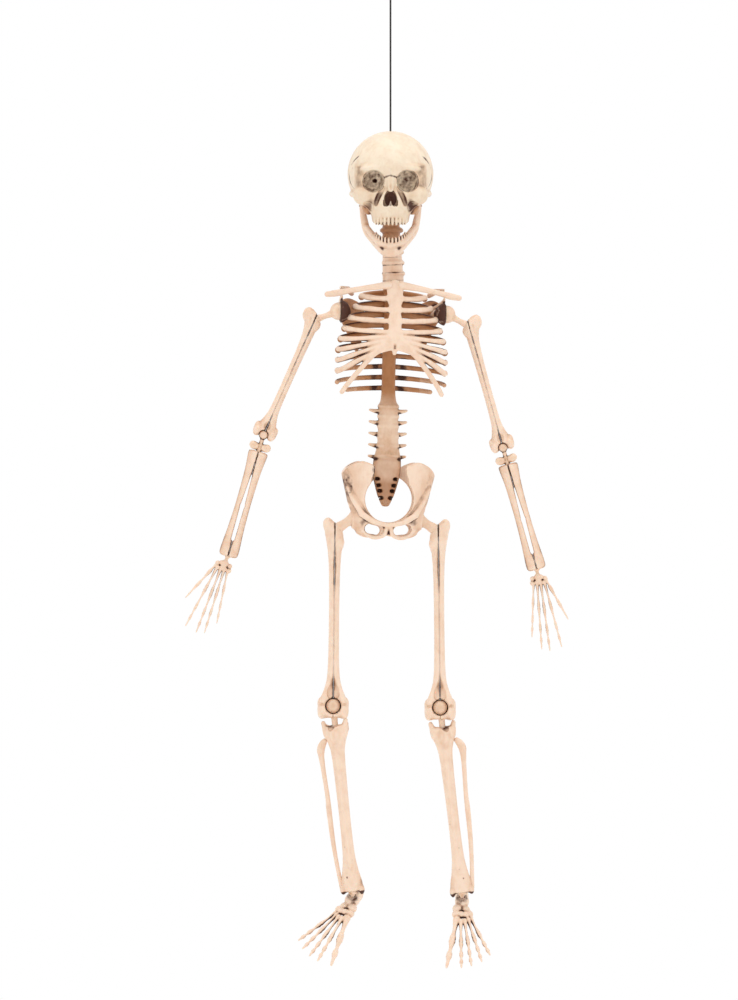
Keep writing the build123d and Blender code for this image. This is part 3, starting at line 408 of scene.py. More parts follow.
def makeHumerus():
    clay = Clay((-17, -14, -162), (19, 14, -4), 0.8)
    clay.lathe([(-9.5, 3.6, 4.4, 7.5, 0), (-13, 6.6, 7.0, 6.8, 0), (-19, 8.2, 8.0, 4.2, 0),
                (-27, 7.2, 7.2, 1.6, 0),
                (-38, 6.1, 6.4, 0.3, 0), (-60, 5.2, 5.6, 0, 0), (-95, 4.9, 5.2, 0, 0), (-124, 5.3, 5.2, 0, 0),
                (-136, 7.2, 5.3, 0, 0), (-146, 10.6, 5.5, 0, 0), (-152, 11.6, 6.0, 0, 0),
                (-157.4, 9.0, 5.4, 0, 0)])
    clay.lump((9.5, -1, -16), (5.2, 6, 7), 3)
    clay.lump((1.5, -3.5, -18), (4.6, 4.5, 6), 3)
    clay.lump((-4.2, 0, -24), (4.2, 5, 6), 3)
    for way in (-1, 1):
        clay.lump((way * 8.6, -0.5, -152.5), (4.3, 6.4, 6.2), 2)
        clay.lump((way * 10.8, 0, -147), (2.3, 3.4, 3.6), 2)
    clay.lump((0, 0, -humerusLook["length"]), 5.5, 0.5, True)
    clay.rod((0, -1, -155), (0, -14, -155), 5.3, 5.6, 0.8, True)
    clay.rod((0, -2, -155), (0, -5, -168), 3.0, 3.6, 0.8, True)
    clay.lump((0, -6.2, -144.5), (3.6, 3.2, 5.2), 1.2, True)
    clay.lump((0, 6.6, -144.5), (4.2, 3.2, 5.5), 1.2, True)
    clay.strand([(4.6, -8.6, -19, 0.9), (2.4, -8.4, -32, 1.5), (0.6, -6.9, -50, 1.3), (0, -5.9, -80, 0.8),
                 (0, -5.6, -92, 0.2)], 0.6, True)
    return clay


def makeShoulderBall():
    clay = Clay((-11, -11, -26), (24, 11, 11), 0.7)
    clay.lump((0, 0, 0), 9.6)
    clay.strand([(6, 0, -5.5, 3.9), (10.5, 0, -9.8, 3.0), (14.5, 0, -13.6, 3.4), (19, 0, -17.7, 4.6)], 1.0)
    return clay


def makeElbowBall():
    clay = Clay((-13, -8, -31), (13, 8, 6), 0.6)
    clay.lump((0, 0, 0), 5.0)
    clay.rod((0, 0, 0), (0, 0, -12), 2.0, 2.4, 1.2)
    for way in (-1, 1):
        clay.lump((way * 5.9, 0, -13.6), (5.8, 5.9, 4.3), 1.2)
        clay.lump((way * 8.3, -1, -12.2), (3.2, 4.2, 3.4), 1.5)
    clay.lump((0, -6.4, -13.2), (2.0, 3.0, 3.8), 0.8, True)
    clay.lump((0, 6.4, -13.2), (2.0, 3.0, 3.8), 0.8, True)
    floor = clay.halve(2, 1, -17.9, 0.0, 0.8)
    floor.rod((0, 0, -14), (0, 0, -29), 3.0, 3.0, 0.6)
    return floor


def makeForearm():
    clay = Clay((-13, -9, -140), (13, 9, -16), 0.75)
    clay.lathe([(-18.5, 10.6, 5.9, 0, 0), (-24, 10.5, 5.9, 0, 0), (-42, 8.9, 5.4, 0, 0), (-75, 8.2, 4.9, 0, 0),
                (-104, 8.9, 5.1, 0, 0), (-120, 9.9, 5.6, 0, 0), (-132, 10.4, 6.0, 0, 0), (-137, 9.0, 5.2, 0, 0)])
    clay.slot((0, 0, -46), (0.3, 0, -80), 0.7, 2.2, 1)
    clay.slot((0.3, 0, -80), (0, 0, -117), 2.2, 1.9, 1)
    for face in (-1, 1):
        clay.strand([(0, face * 6.4, -18, 0.7), (0, face * 6.0, -32, 1.0), (0, face * 5.2, -48, 1.2)], 0.6, True)
        clay.strand([(0.3, face * 5.6, -112, 1.8), (0.1, face * 6.3, -121, 1.9), (0, face * 7.2, -128, 0.8)],
                    0.8, True)
    clay.rod((0, 0, -17), (0, 0, -31), 3.35, 3.35, 0.3, True)
    clay.lump((0, 0, -135), 4.25, 0.5, True)
    clay.rod((0, 0, -135), (0, 0, -146), 3.4, 4.6, 0.8, True)
    return clay


def makeWristBall():
    clay = Clay((-5, -5, -18), (5, 5, 5), 0.5)
    clay.lump((0, 0, 0), 3.8)
    clay.rod((0, 0, 0), (0, 0, -16), 1.9, 1.6, 1.0)
    return clay


fingers = [    # length from the wrist ball, angle, root x, knuckles as shares of the length, thickness
    {"length": 65.0, "angle": 23.0, "root": 7.4, "start": 12.0, "knuckles": (0.40, 0.70), "thick": 1.12},
    {"length": 89.5, "angle": 9.0, "root": 6.2, "start": 17.5, "knuckles": (0.50, 0.745, 0.885), "thick": 1.0},
    {"length": 90.5, "angle": 0.5, "root": 2.0, "start": 18.5, "knuckles": (0.51, 0.755, 0.895), "thick": 1.0},
    {"length": 88.0, "angle": -5.0, "root": -2.0, "start": 18.0, "knuckles": (0.50, 0.75, 0.89), "thick": 0.96},
    {"length": 75.0, "angle": -12.5, "root": -5.8, "start": 16.5, "knuckles": (0.50, 0.75, 0.89), "thick": 0.9},
]


def boneRow(clay, start, end, shares, thick, soft=0.7, bend=0.0):     # one finger or toe: shafts between knuckles
    start, end = np.array(start, float), np.array(end, float)
    rows = []
    marks = [0.0, *shares, 1.0]
    for i in range(len(marks) - 1):
        a, b = marks[i], marks[i + 1]
        last = i == len(marks) - 2
        for share, radius in ((0.0, 1.95), (0.12, 1.7), (0.4, 1.12), (0.65, 1.15),
                              (0.86, 1.85 if not last else 1.0),
                              (0.97, 1.35 if not last else 0.75)):
            t = a + (b - a) * share
            point = start + (end - start) * t
            rows.append((point[0], point[1] + bend * t * t, point[2], radius * thick * (1 - 0.26 * t)))
    point = end + [0, bend, 0]
    rows.append((*point, 0.55 * thick))
    clay.strand(rows, soft, False, len(rows) * 4)


def makeHand():
    clay = Clay((-22, -7, -93), (30, 7, -5), 0.55)
    for x, z, r in ((-6.0, -11.0, 3.1), (-1.6, -10.0, 3.2), (3.2, -10.6, 3.3), (7.2, -12.2, 2.9),
                    (-7.0, -15.6, 3.0), (-2.9, -15.4, 2.9), (1.4, -15.6, 3.2), (5.4, -16.2, 3.1)):
        clay.lump((x, 0.3 * math.sin(3 * x + z), z), (r * 0.92, r * 1.0, r * 0.9), 0.45)
    clay.rod((0, 0.5, -8.6), (0, 0.5, -14), 3.2, 4.0, 0.8)
    for finger in fingers:
        lean = math.radians(finger["angle"])
        end = (finger["length"] * math.sin(lean), 0, -finger["length"] * math.cos(lean))
        start = (finger["root"], 0, -finger["start"])
        span = finger["length"] - finger["start"]
        knuckles = [(share * finger["length"] - finger["start"]) / span for share in finger["knuckles"]]
        boneRow(clay, start, end, knuckles, finger["thick"], 0.7, -2.2)
    return clay


# legs
def makeHipBall():
    clay = Clay((-10, -10, -22), (24, 10, 10), 0.7)
    clay.lump((0, 0, 0), 8.6)
    clay.strand([(4, 0, -2, 6.6), (9.5, 0, -5, 5.0), (15, 0, -8.6, 5.4), (21, 0, -12.6, 6.4)], 1.0)
    return clay


femurLook = {"offset": 22.5, "length": 203.5}


def makeFemur():
    clay = Clay((-20, -16, -222), (20, 17, 2), 0.85)
    clay.lathe([(-3.5, 3.5, 4.5, 5.5, 0.5), (-8, 8.0, 7.6, 3.6, 0), (-16, 9.8, 8.8, 1.2, 0), (-26, 9.2, 8.4, 0, 0),
                (-38, 7.4, 7.5, 0, 0), (-60, 6.1, 6.8, 0, 0), (-100, 5.6, 6.4, 0, 0), (-150, 5.9, 6.4, 0, 0),
                (-172, 7.0, 6.8, 0, 0), (-184, 9.6, 7.8, 0, 0), (-193, 13.0, 9.8, 0, 0), (-202, 15.4, 11.2, 0, 0),
                (-210, 14.6, 10.5, 0, 0), (-216.5, 10.0, 7.0, 0, 0)])
    clay.lump((7.6, 0.5, -7), (5.4, 7.0, 7.0), 2)
    clay.lump((-6.0, -3.5, -27), (4.2, 4.5, 5.0), 2.5)
    clay.lump((-5, 3.5, -30), (4.2, 4.4, 5.5), 3)
    for way in (-1, 1):
        clay.lump((way * 10.4, 1.0, -208.0), (6.6, 12.2, 9.4), 1.2)
        clay.lump((way * 12.4, -3.5, -211.5), (4.2, 7.0, 6.0), 1.0)
        clay.lump((way * 13.6, 0, -200), (3.2, 5.5, 5.0), 2.5)
        clay.strand([(way * 4.2, -4.5, -176, 2.6), (way * 7.6, -6.5, -188, 3.0), (way * 11, -7, -198, 3.4)], 2.0)
    clay.lump((0, -9, -184), (3.4, 5.5, 11), 1.2, True)
    clay.lump((0, 0, -203.5), 8.7, 0.5, True)
    clay.rod((0, -3, -203.5), (0, -22, -203.5), 8.7, 9.2, 0.9, True)
    clay.rod((0, 0, -203.5), (0, 3, -226), 4.2, 5.4, 1.0, True)
    clay.rod((0, 0, -203.5), (0, 20, -214), 4.0, 4.8, 1.0, True)
    clay.lump((0, -10.0, -189), (6.2, 5.4, 9.0), 1.5, True)
    clay.strand([(-1.0, -9.4, -26, 1.0), (-0.6, -8.6, -38, 2.2), (-0.4, -7.4, -52, 1.8), (0, -7.0, -70, 0.9),
                 (0, -7.0, -88, 0.2)], 0.8, True, 24)
    clay.strand([(0, -7.4, -158, 0.3), (0, -7.4, -170, 1.4), (0, -8.2, -184, 2.6)], 0.8, True, 20)
    clay.strand([(0, 8.2, -60, 1.4), (0, 7.3, -110, 1.6), (0, 7.4, -160, 1.2)], 2.5)
    return clay


def makeKneeBall():
    clay = Clay((-9, -9, -31), (9, 9, 9), 0.7)
    clay.lump((0, 0, 0), 8.2)
    clay.rod((0, 0, 0), (0, 0, -29), 3.6, 3.2, 1.5)
    return clay


def makeTibia():
    clay = Clay((-17, -14, -209), (17, 14, -11), 0.8)
    clay.lathe([(-20.5, 11.0, 7.5, 0, 0), (-25, 13.6, 9.6, 0, 0.5), (-31, 12.8, 9.8, 0, 0.5),
                (-40, 9.6, 8.4, 0, 0),
                (-52, 7.4, 7.2, 0, 0), (-80, 6.5, 6.6, 0, 0), (-125, 6.0, 6.2, 0, 0), (-160, 6.6, 6.4, 0, 0),
                (-178, 8.8, 7.0, 0, 0), (-190, 11.4, 7.8, 0, 0), (-199, 12.2, 8.0, 0, 0), (-202, 11.4, 7.2, 0, 0)])
    for way, top in ((-1, -17.5), (1, -18.5)):
        clay.rod((way * 8.6, -3, -30), (way * 12.4, -2, top + 1.0), 4.6, 2.4, 2)
        clay.rod((way * 9.6, 4, -25), (way * 11.4, 5, top - 3), 3.9, 2.4, 3)
    clay.lump((0.5, -9.0, -32), (3.4, 3.2, 7.0), 4)
    clay.lump((0.5, -7.5, -17), (6.8, 7.5, 5.6), 1.5, True)
    clay.lump((3.6, -9.0, -22), (3.6, 3.6, 4.4), 1.0, True)
    clay.lump((0, 0, -13.5), (8.0, 8.0, 4.0), 1.5, True)
    clay.rod((0, 0, -10), (0, 0, -30), 3.6, 3.6, 0.4, True)
    clay.strand([(0.3, -7.2, -40, 1.2), (-0.4, -6.4, -90, 1.1), (-0.8, -6.3, -140, 0.9),
                 (-1.5, -6.8, -175, 0.5)], 3.0)
    for way, foot in ((-1, -205.0), (1, -203.6)):
        clay.lump((way * 10.2, 0, foot + 4.5), (2.8, 6.0, 5.0), 2)
    clay.lump((0, -1, -206), (8.2, 9.5, 4.6), 1.5, True)
    clay.lump((0, 0, -200), 6.0, 0.6, True)
    clay.rod((0, 0, -200), (0, 13, -211), 4.4, 5.4, 0.8, True)
    clay.lump((3.0, -8.6, -186), (0.9, 1.6, 1.2), 0.5, True)
    return clay


def makeFibula():
    clay = Clay((6, -7, -204), (24, 7, -24), 0.7)
    clay.strand([(13.6, 0.5, -37, 3.0), (16.4, 0.5, -40.5, 4.0), (18.6, 0, -46, 4.3), (18.8, 0, -54, 3.2),
                 (18.0, 0, -70, 2.5), (16.6, 0, -97, 2.5), (16.6, 0, -112, 2.9), (16.0, 0, -140, 2.6),
                 (14.6, 0, -165, 2.3), (12.6, 0, -186, 2.3), (11.4, 0, -196, 2.5), (10.6, 0, -200, 2.0)], 0.8,
                 False, 60)
    return clay


def makeAnkleBall():
    clay = Clay((-6, -6, -19), (6, 6, 6), 0.6)
    clay.lump((0, 0, 0), 5.5)
    clay.rod((0, 0, 0), (0, 0, -17), 2.6, 2.4, 1.5)
    return clay


toes = [
    {"length": 92.0, "angle": -12.0, "root": (-6.5, -27, -15.5), "knuckles": (0.62, 0.84), "thick": 2.15},
    {"length": 91.0, "angle": -2.0, "root": (-2.2, -30, -14.5), "knuckles": (0.66, 0.82, 0.92), "thick": 1.4},
    {"length": 89.0, "angle": 5.0, "root": (2.0, -29, -15), "knuckles": (0.65, 0.81, 0.92), "thick": 1.35},
    {"length": 85.0, "angle": 13.0, "root": (5.6, -26, -16.5), "knuckles": (0.64, 0.80, 0.92), "thick": 1.35},
    {"length": 79.0, "angle": 21.0, "root": (8.4, -22, -18.5), "knuckles": (0.62, 0.80, 0.92), "thick": 1.4},
]


def makeFoot():
    clay = Clay((-28, -95, -28), (36, 21, -5), 0.7)
    clay.lump((0, -1, -14.5), (7.6, 10.0, 6.5), 2)
    clay.lump((0, 10.5, -17.0), (7.2, 8.2, 8.2), 3)
    clay.lump((0, 2, -19), (6.8, 12, 6), 3)
    for x, y, z, r in ((-5.5, -12, -15, 5.2), (3.5, -12.5, -16.5, 4.8), (-6.8, -19.5, -15.5, 4.6),
                       (-1.8, -21, -14.8, 4.2), (3.0, -21, -15.4, 4.0), (7.2, -18, -17.5, 4.4)):
        clay.lump((x, y, z), (r, r * 1.08, r * 0.9), 1.0)
    for toe in toes:
        lean = math.radians(toe["angle"])
        end = np.array([toe["length"] * math.sin(lean), -toe["length"] * math.cos(lean), -21.0])
        start = np.array(toe["root"], float)
        whole = np.linalg.norm(end - start)
        rest = toe["length"] - whole
        knuckles = [(share * toe["length"] - rest) / whole for share in toe["knuckles"]]
        boneRow(clay, start, end, knuckles, toe["thick"], 0.9)
    clay.rod((0, 0, -6), (0, 0, -18), 2.75, 2.75, 0.4, True)
    return clay


def makeCup(ball, keepTo):     # a thin lining, open outwards
    outer = ball + 1.4
    clay = Clay((-outer - 1, -outer - 1, -outer - 1), (2, outer + 1, outer + 1), 0.6)
    clay.lump((0, 0, 0), outer, 0.2)
    clay.lump((0, 0, 0), ball + 0.3, 0.2, True)
    return clay.halve(0, -1, keepTo, 0.0, 0.4)


def seamMarks(points, start, stop):     # stain along the parting line, heavy near the ends and broken between
    x, y, z = points.T
    share = (start - z) / (start - stop)
    broken = 0.5 + 0.5 * waves(x, y, z, 26.0, 5, 2)
    near = np.exp(-(share / 0.34) ** 2) + np.exp(-((share - 1) / 0.14) ** 2)
    width = 0.5 + 0.9 * near * broken
    return np.exp(-(x / width) ** 2) * np.clip(near * 0.9 + 0.45 * broken - 0.1, 0,
                                               1) * ((share > 0) & (share < 1))


def footMarks(points):     # dark between the long bones and on the ankle's neck
    x, y, z = points.T
    between = np.exp(-((y + 34) / 8.0) ** 2) * np.exp(-((z + 21) / 4.0) ** 2) * (np.abs(x) < 12)
    neck = np.exp(-((z + 9.5) / 2.4) ** 2) * np.exp(-(y / 12.0) ** 2)
    return np.clip(0.55 * between + 0.8 * neck, 0, 1)


def shinMarks(points):     # dark under the end at the ankle, in the notch above, and a few small stains
    x, y, z = points.T
    under = np.clip((-200.6 - z) / 1.6, 0, 1) * 0.9
    notch = np.exp(-((x - 2.5) / 4.6) ** 2 - ((z + 19.5) / 4.0) ** 2 - ((y + 5) / 8.0) ** 2) * 0.95
    spots = np.exp(-((x - 3) / 1.0) ** 2 - ((z + 186) / 1.5) ** 2) * (y < 0)
    return np.clip(under + notch + spots + 0.5 * (waves(x, y, z, 17.0, 9) > 0.78), 0, 1)


def ballMarks(radius):     # a stained ring where the ball meets its socket
    return lambda points: 0.8 * np.exp(-((np.hypot(points[:, 0], points[:, 2]) - radius) / 0.8) ** 2) * (
        np.abs(points[:, 2]) < radius * 1.3)


print("arms and legs")
limbs = {"humerus": makeHumerus(), "forearm": makeForearm(), "femur": makeFemur()}
shared = {"shoulder_ball": makeShoulderBall(), "elbow_ball": makeElbowBall(), "wrist_ball": makeWristBall(),
          "hand": makeHand(), "hip_ball": makeHipBall(), "knee_ball": makeKneeBall(), "tibia": makeTibia(),
          "fibula": makeFibula(), "ankle_ball": makeAnkleBall(), "foot": makeFoot(),
          "shoulder_cup": makeCup(9.6, -1.0), "hip_cup": makeCup(8.6, 0.0)}
bodyOf = {"shoulder_ball": "upper_arm", "elbow_ball": "elbow", "wrist_ball": "wrist", "hand": "hand",
          "hip_ball": "thigh", "knee_ball": "knee", "tibia": "shin", "fibula": "shin", "ankle_ball": "ankle",
          "foot": "foot", "shoulder_cup": "shoulder_cup", "hip_cup": "hip_cup"}
# the shoulder socket's lining is near-black: partly dark stain, partly painted shadow deep in the socket
cupMaterial = boneMaterial("stained lining with painted shadow", {"pale": (0.10, 0.05, 0.025, 1), "warm": (0.06, 0.025, 0.01, 1),
                                              "stainAndShadow": (0.015, 0.006, 0.003, 1), "washAndShade": 1.0})
ballMaterial = boneMaterial("ball joint bone", {"pale": (0.87, 0.66, 0.50, 1), "warm": (0.68, 0.42, 0.25, 1),
                                                "stainAndShadow": (0.07, 0.022, 0.010, 1), "washAndShade": 0.5})

torsoX = -axisOf("left_shoulder_swing")
shoulderMid = (placeOf("left_shoulder_swing") + placeOf("right_shoulder_swing")) / 2
torso = frameOf(shoulderMid, torsoX, np.array([-torsoX[2], 0, torsoX[0]]))
for sideName, side in sides:
    shoulder, elbow = placeOf(f"{sideName}_shoulder_raise"), placeOf(f"{sideName}_elbow_bend")
    reach = (elbow - shoulder) / mm
    offset = humerusLook["offset"]
    lean = math.atan2(reach[0] * side, -reach[2]) - math.atan2(offset, humerusLook["length"])
    across = np.array([math.cos(lean), 0, side * math.sin(lean)])
    up = np.array([-side * math.sin(lean), 0, math.cos(lean)])
    arm = frameOf(shoulder, across, up)
    shaft = (shoulder + across * side * offset * mm, arm[1])
    fore = frameOf(elbow, -axisOf(f"{sideName}_elbow_bend"), axisOf(f"{sideName}_forearm_turn") * side)
    wrist = frameOf(placeOf(f"{sideName}_wrist_bend"), -axisOf(f"{sideName}_wrist_bend"),
                    axisOf(f"{sideName}_hand_turn") * side)
    hip, knee = placeOf(f"{sideName}_hip_spread"), placeOf(f"{sideName}_knee_bend")
    drop = (knee - hip) / mm
    thighLean = math.atan2(drop[0] * side, -drop[2]) - math.atan2(femurLook["offset"], femurLook["length"])
    legX = np.array([math.cos(thighLean), 0, side * math.sin(thighLean)])
    leg = frameOf(hip, legX, np.array([-side * math.sin(thighLean), 0, math.cos(thighLean)]))
    thigh = (hip + legX * side * femurLook["offset"] * mm, leg[1])
    kneePlace = frameOf(knee, axisOf(f"{sideName}_knee_bend"), axisOf(f"{sideName}_shin_turn") * side)
    turn = math.radians(12.0 if side < 0 else 0.0) * side
    shinX = kneePlace[1][:, 0] * math.cos(turn) + kneePlace[1][:, 1] * math.sin(turn)
    shin = frameOf(knee, shinX, kneePlace[1][:, 2])
    ankle = placeOf(f"{sideName}_ankle_pitch")
    foot = frameOf(ankle, axisOf(f"{sideName}_ankle_pitch"), axisOf(f"{sideName}_foot_turn") * side)
    places = {"shoulder_ball": arm, "elbow_ball": fore, "wrist_ball": wrist, "hand": wrist, "hip_ball": leg,
              "knee_ball": kneePlace, "tibia": shin, "fibula": shin, "ankle_ball": foot, "foot": foot,
              "shoulder_cup": (shoulder, torso[1]), "hip_cup": (hip, torso[1])}
    for boneName, clay, place, body, ends in (("humerus", limbs["humerus"], shaft, "upper_arm", (-8, -150)),
                                           ("forearm", limbs["forearm"], fore, "forearm", (-18, -137)),
                                           ("femur", limbs["femur"], thigh, "thigh", (-3, -200))):
        for outward in (1, -1):
            half = clay.halve(0, outward)
            label = "plus" if outward * side > 0 else "minus"
            node = f"{sideName}_{boneName}_{label}"
            pieceFrom(node + "_look", half, place, side, f"{sideName}_{body}", [node], limbBone,
                      lambda points, ends=ends: seamMarks(points, *ends))
    # the shoulder ball is darker on the half that sits inside its cup: painted shade
    marks = {"foot": footMarks, "tibia": shinMarks, "knee_ball": ballMarks(8.2), "elbow_ball": ballMarks(4.9),
             "shoulder_ball": lambda points: np.clip((-3.2 - points[:, 0]) / 2.0, 0, 1) * 0.9}
    for name, clay in shared.items():
        material = {"shoulder_cup": cupMaterial}.get(name, ballMaterial if "ball" in name else limbBone)
        slotName = "cup" if name.endswith("cup") else "ball" if "ball" in name else "limb_bone"
        pieceFrom(f"{sideName}_{name}_look", clay, places[name], side, f"{sideName}_{bodyOf[name]}",
                  [f"{sideName}_{name}"], material, marks.get(name))


def nearCurve(points, rows, width):     # 1 on a smooth curve through rows, fading over width
    curve = smoothCurve(rows, 10 * len(rows))
    best = np.full(len(points), 1e6)
    for a, b in zip(curve[:-1], curve[1:]):
        along = b - a
        t = np.clip((points - a) @ along / (along @ along), 0, 1)
        best = np.minimum(best, ((points - a - t[:, None] * along) ** 2).sum(1))
    return np.exp(-best / width ** 2)


def insideOutline(rows, x, z, count=120):     # signed distance to a closed smooth outline, below 0 inside
    rows = np.asarray(rows, float)
    closed = smoothCurve(np.vstack([rows, rows[:1]]), count)
    best, inside = 1e6, False
    for (ax, az), (bx, bz) in zip(closed[:-1], closed[1:]):
        ex, ez = bx - ax, bz - az
        t = np.clip(((x - ax) * ex + (z - az) * ez) / max(ex * ex + ez * ez, 1e-9), 0, 1)
        best = np.minimum(best, (x - ax - t * ex) ** 2 + (z - az - t * ez) ** 2)
        if az != bz:
            inside = inside ^ (((az > z) != (bz > z)) & (x < ax + (z - az) * ex / ez))
    return np.where(inside, -1, 1) * np.sqrt(best)


# trunk, in the torso's axes: x to the figure's left, y back, z up from the shoulder line
cage = {"top": 28.0, "bottom": -96.0, "neckWidth": 31.0, "width": 60.5, "neckDepth": 23.0, "depth": 41.0,
        "firstRib": 17.5, "pitch": 11.6, "rise": 0.158, "frontRibs": 8, "backRibs": 10}


def cageSize(z):
    spot = np.clip((cage["top"] - z) / (cage["top"] - cage["bottom"]), 0, 1)
    swell = np.sin(math.pi / 2 * np.minimum(1, spot / 0.62)) ** 1.1
    return (cage["neckWidth"] + (cage["width"] - cage["neckWidth"]) * swell - 2.2,
            cage["neckDepth"] + (cage["depth"] - cage["neckDepth"]) * swell - 2.2)


def onCage(x, z, back):
    wide, deep = cageSize(z)
    y = deep * math.sqrt(max(0.0, 1 - (x / wide) ** 2))
    return (x, y if back else -y, z)


def makeCageFront():
    clay = Clay((-62, -44, -100), (62, 3, 32), 0.8)
    for rib in range(cage["frontRibs"]):
        flank = cage["firstRib"] - rib * cage["pitch"]
        inner = flank if rib < 4 else cage["firstRib"] - 3.4 * cage["pitch"] - (rib - 4) * 0.3 * cage["pitch"]
        for way in (-1, 1):
            rows = []
            for turn in np.linspace(0.06, 0.5 * math.pi, 12):
                share = math.sin(turn)
                height = inner + (flank - inner) * share ** 1.5
                wide, deep = cageSize(height)
                y = -deep * math.cos(turn)
                rows.append((way * wide * share, y, height + cage["rise"] * y * 0.8,
                             3.0 + 0.25 * math.sin(9 * turn + rib)))
            clay.strand(rows, 1.6, False, 34)
    top, low = onCage(0, 27, False), onCage(0, -28, False)
    for a, b, ra, rb in (((0, top[1], 26), (0, onCage(0, 12, False)[1], 12), 9.4, 7.6),
                         ((0, onCage(0, 12, False)[1], 12), (0, onCage(0, -6, False)[1], -6), 6.6, 6.2),
                         ((0, onCage(0, -6, False)[1], -6), (0, low[1], -28), 6.4, 7.8),
                         ((0, low[1], -28), (0, low[1] + 1.0, -44), 6.4, 2.4)):
        clay.rod(a, b, ra, rb, 2.0, False, ((0, 1, 0), 0.34))
    for way in (-1, 1):
        rows = [(*onCage(way * x, z, False), 3.1 - 0.01 * x) for x,
                z in ((5, -29), (16, -39), (28, -52), (40, -67),
                                                                         (49, -79), (54, -87))]
        clay.strand(rows, 1.8, False, 30)
    return clay.halve(1, -1, 0.0, 0.1, 0.8)


def makeCageBack():
    clay = Clay((-62, -3, -104), (62, 44, 40), 0.8)
    for rib in range(cage["backRibs"]):
        flank = cage["firstRib"] - rib * cage["pitch"]
        for way in (-1, 1):
            rows = []
            for turn in np.linspace(0.0, 0.5 * math.pi - 0.07, 12):
                wide, deep = cageSize(flank)
                y = deep * math.sin(turn)
                if rib == cage["backRibs"] - 1 and turn < 0.62:
                    continue
                radius = (4.0 if rib < 6 else 2.9) - 0.5 * math.cos(turn)
                rows.append((way * wide * math.cos(turn), y, flank + cage["rise"] * y - 1.5 * math.cos(turn),
                             radius))
            clay.strand(rows, 1.6, False, 34, ((0, 1, 0), 0.62) if rib > 5 else None)
    spineRows = [(0, onCage(0, z, True)[1] - 1, z, 6.2) for z in np.linspace(26, -92, 22)]
    clay.strand(spineRows, 1.2, False, 60)
    clay.rod((0, 3, 29), (0, 3, 25.5), 11, 11, 2, False)
    return clay.halve(1, 1, 0.0, 0.1, 0.8)


def ribCornerShade(points):     # painted shade: dark patches where the lower ribs leave the spine, and at the lowest rib ends
    x, z = np.abs(points[:, 0]), points[:, 2]
    beside = np.exp(-((x - 15) / 6.0) ** 2) * ((z < -48) & (z > -100))
    tips = np.exp(-((x - 52) / 4.0) ** 2) * (z < -92)
    return np.clip(0.95 * beside + 0.6 * tips, 0, 1)


def spineUndersideShade(points):     # painted shade: dark undersides of the side processes
    x, z = np.abs(points[:, 0]), points[:, 2]
    row = np.mod(z + 106 + 6.2, 12.4) - 6.2
    under = np.exp(-((x - 12.6) / 2.4) ** 2) * np.exp(-((row + 2.4) / 1.7) ** 2) * ((z < -100) & (z > -162))
    return np.clip(0.85 * under, 0, 1)


def makeSpine():
    clay = Clay((-23, 4, -213), (23, 40, 26), 0.8)
    clay.lathe([(22, 7, 7, 0, 20), (-48, 7.4, 7.4, 0, 29), (-86, 7.6, 7.6, 0, 26), (-104, 10, 9.4, 0, 21),
                (-140, 11.4, 10, 0, 15.5), (-160, 15, 8, 0, 18), (-176, 14.5, 7, 0, 23), (-196, 9.5, 5, 0, 25),
                (-209.5, 3.6, 3.4, 0, 25)], 1)
    for ring in range(6):
        z = -101 - ring * 10.8
        clay.lump((0, 15 + 0.12 * (z + 150), z), (11.6, 9.8, 4.0), 3)
    for row in range(5):
        z = -106 - 12.4 * row
        for way in (-1, 1):
            clay.strand([(way * 6, 19, z, 3.2), (way * 12, 20, z - 0.6, 2.5), (way * 19.6, 21, z + 0.7, 1.5)], 1.2)
    for row, z in enumerate((-179.5, -186.5, -192.5, -200)):
        for way in (-1, 1):
            clay.lump((way * (9.8 - 1.5 * row), 16.0 + 1.2 * row, z), (3.2, 8, 2.3), 0.6, True)
    return clay


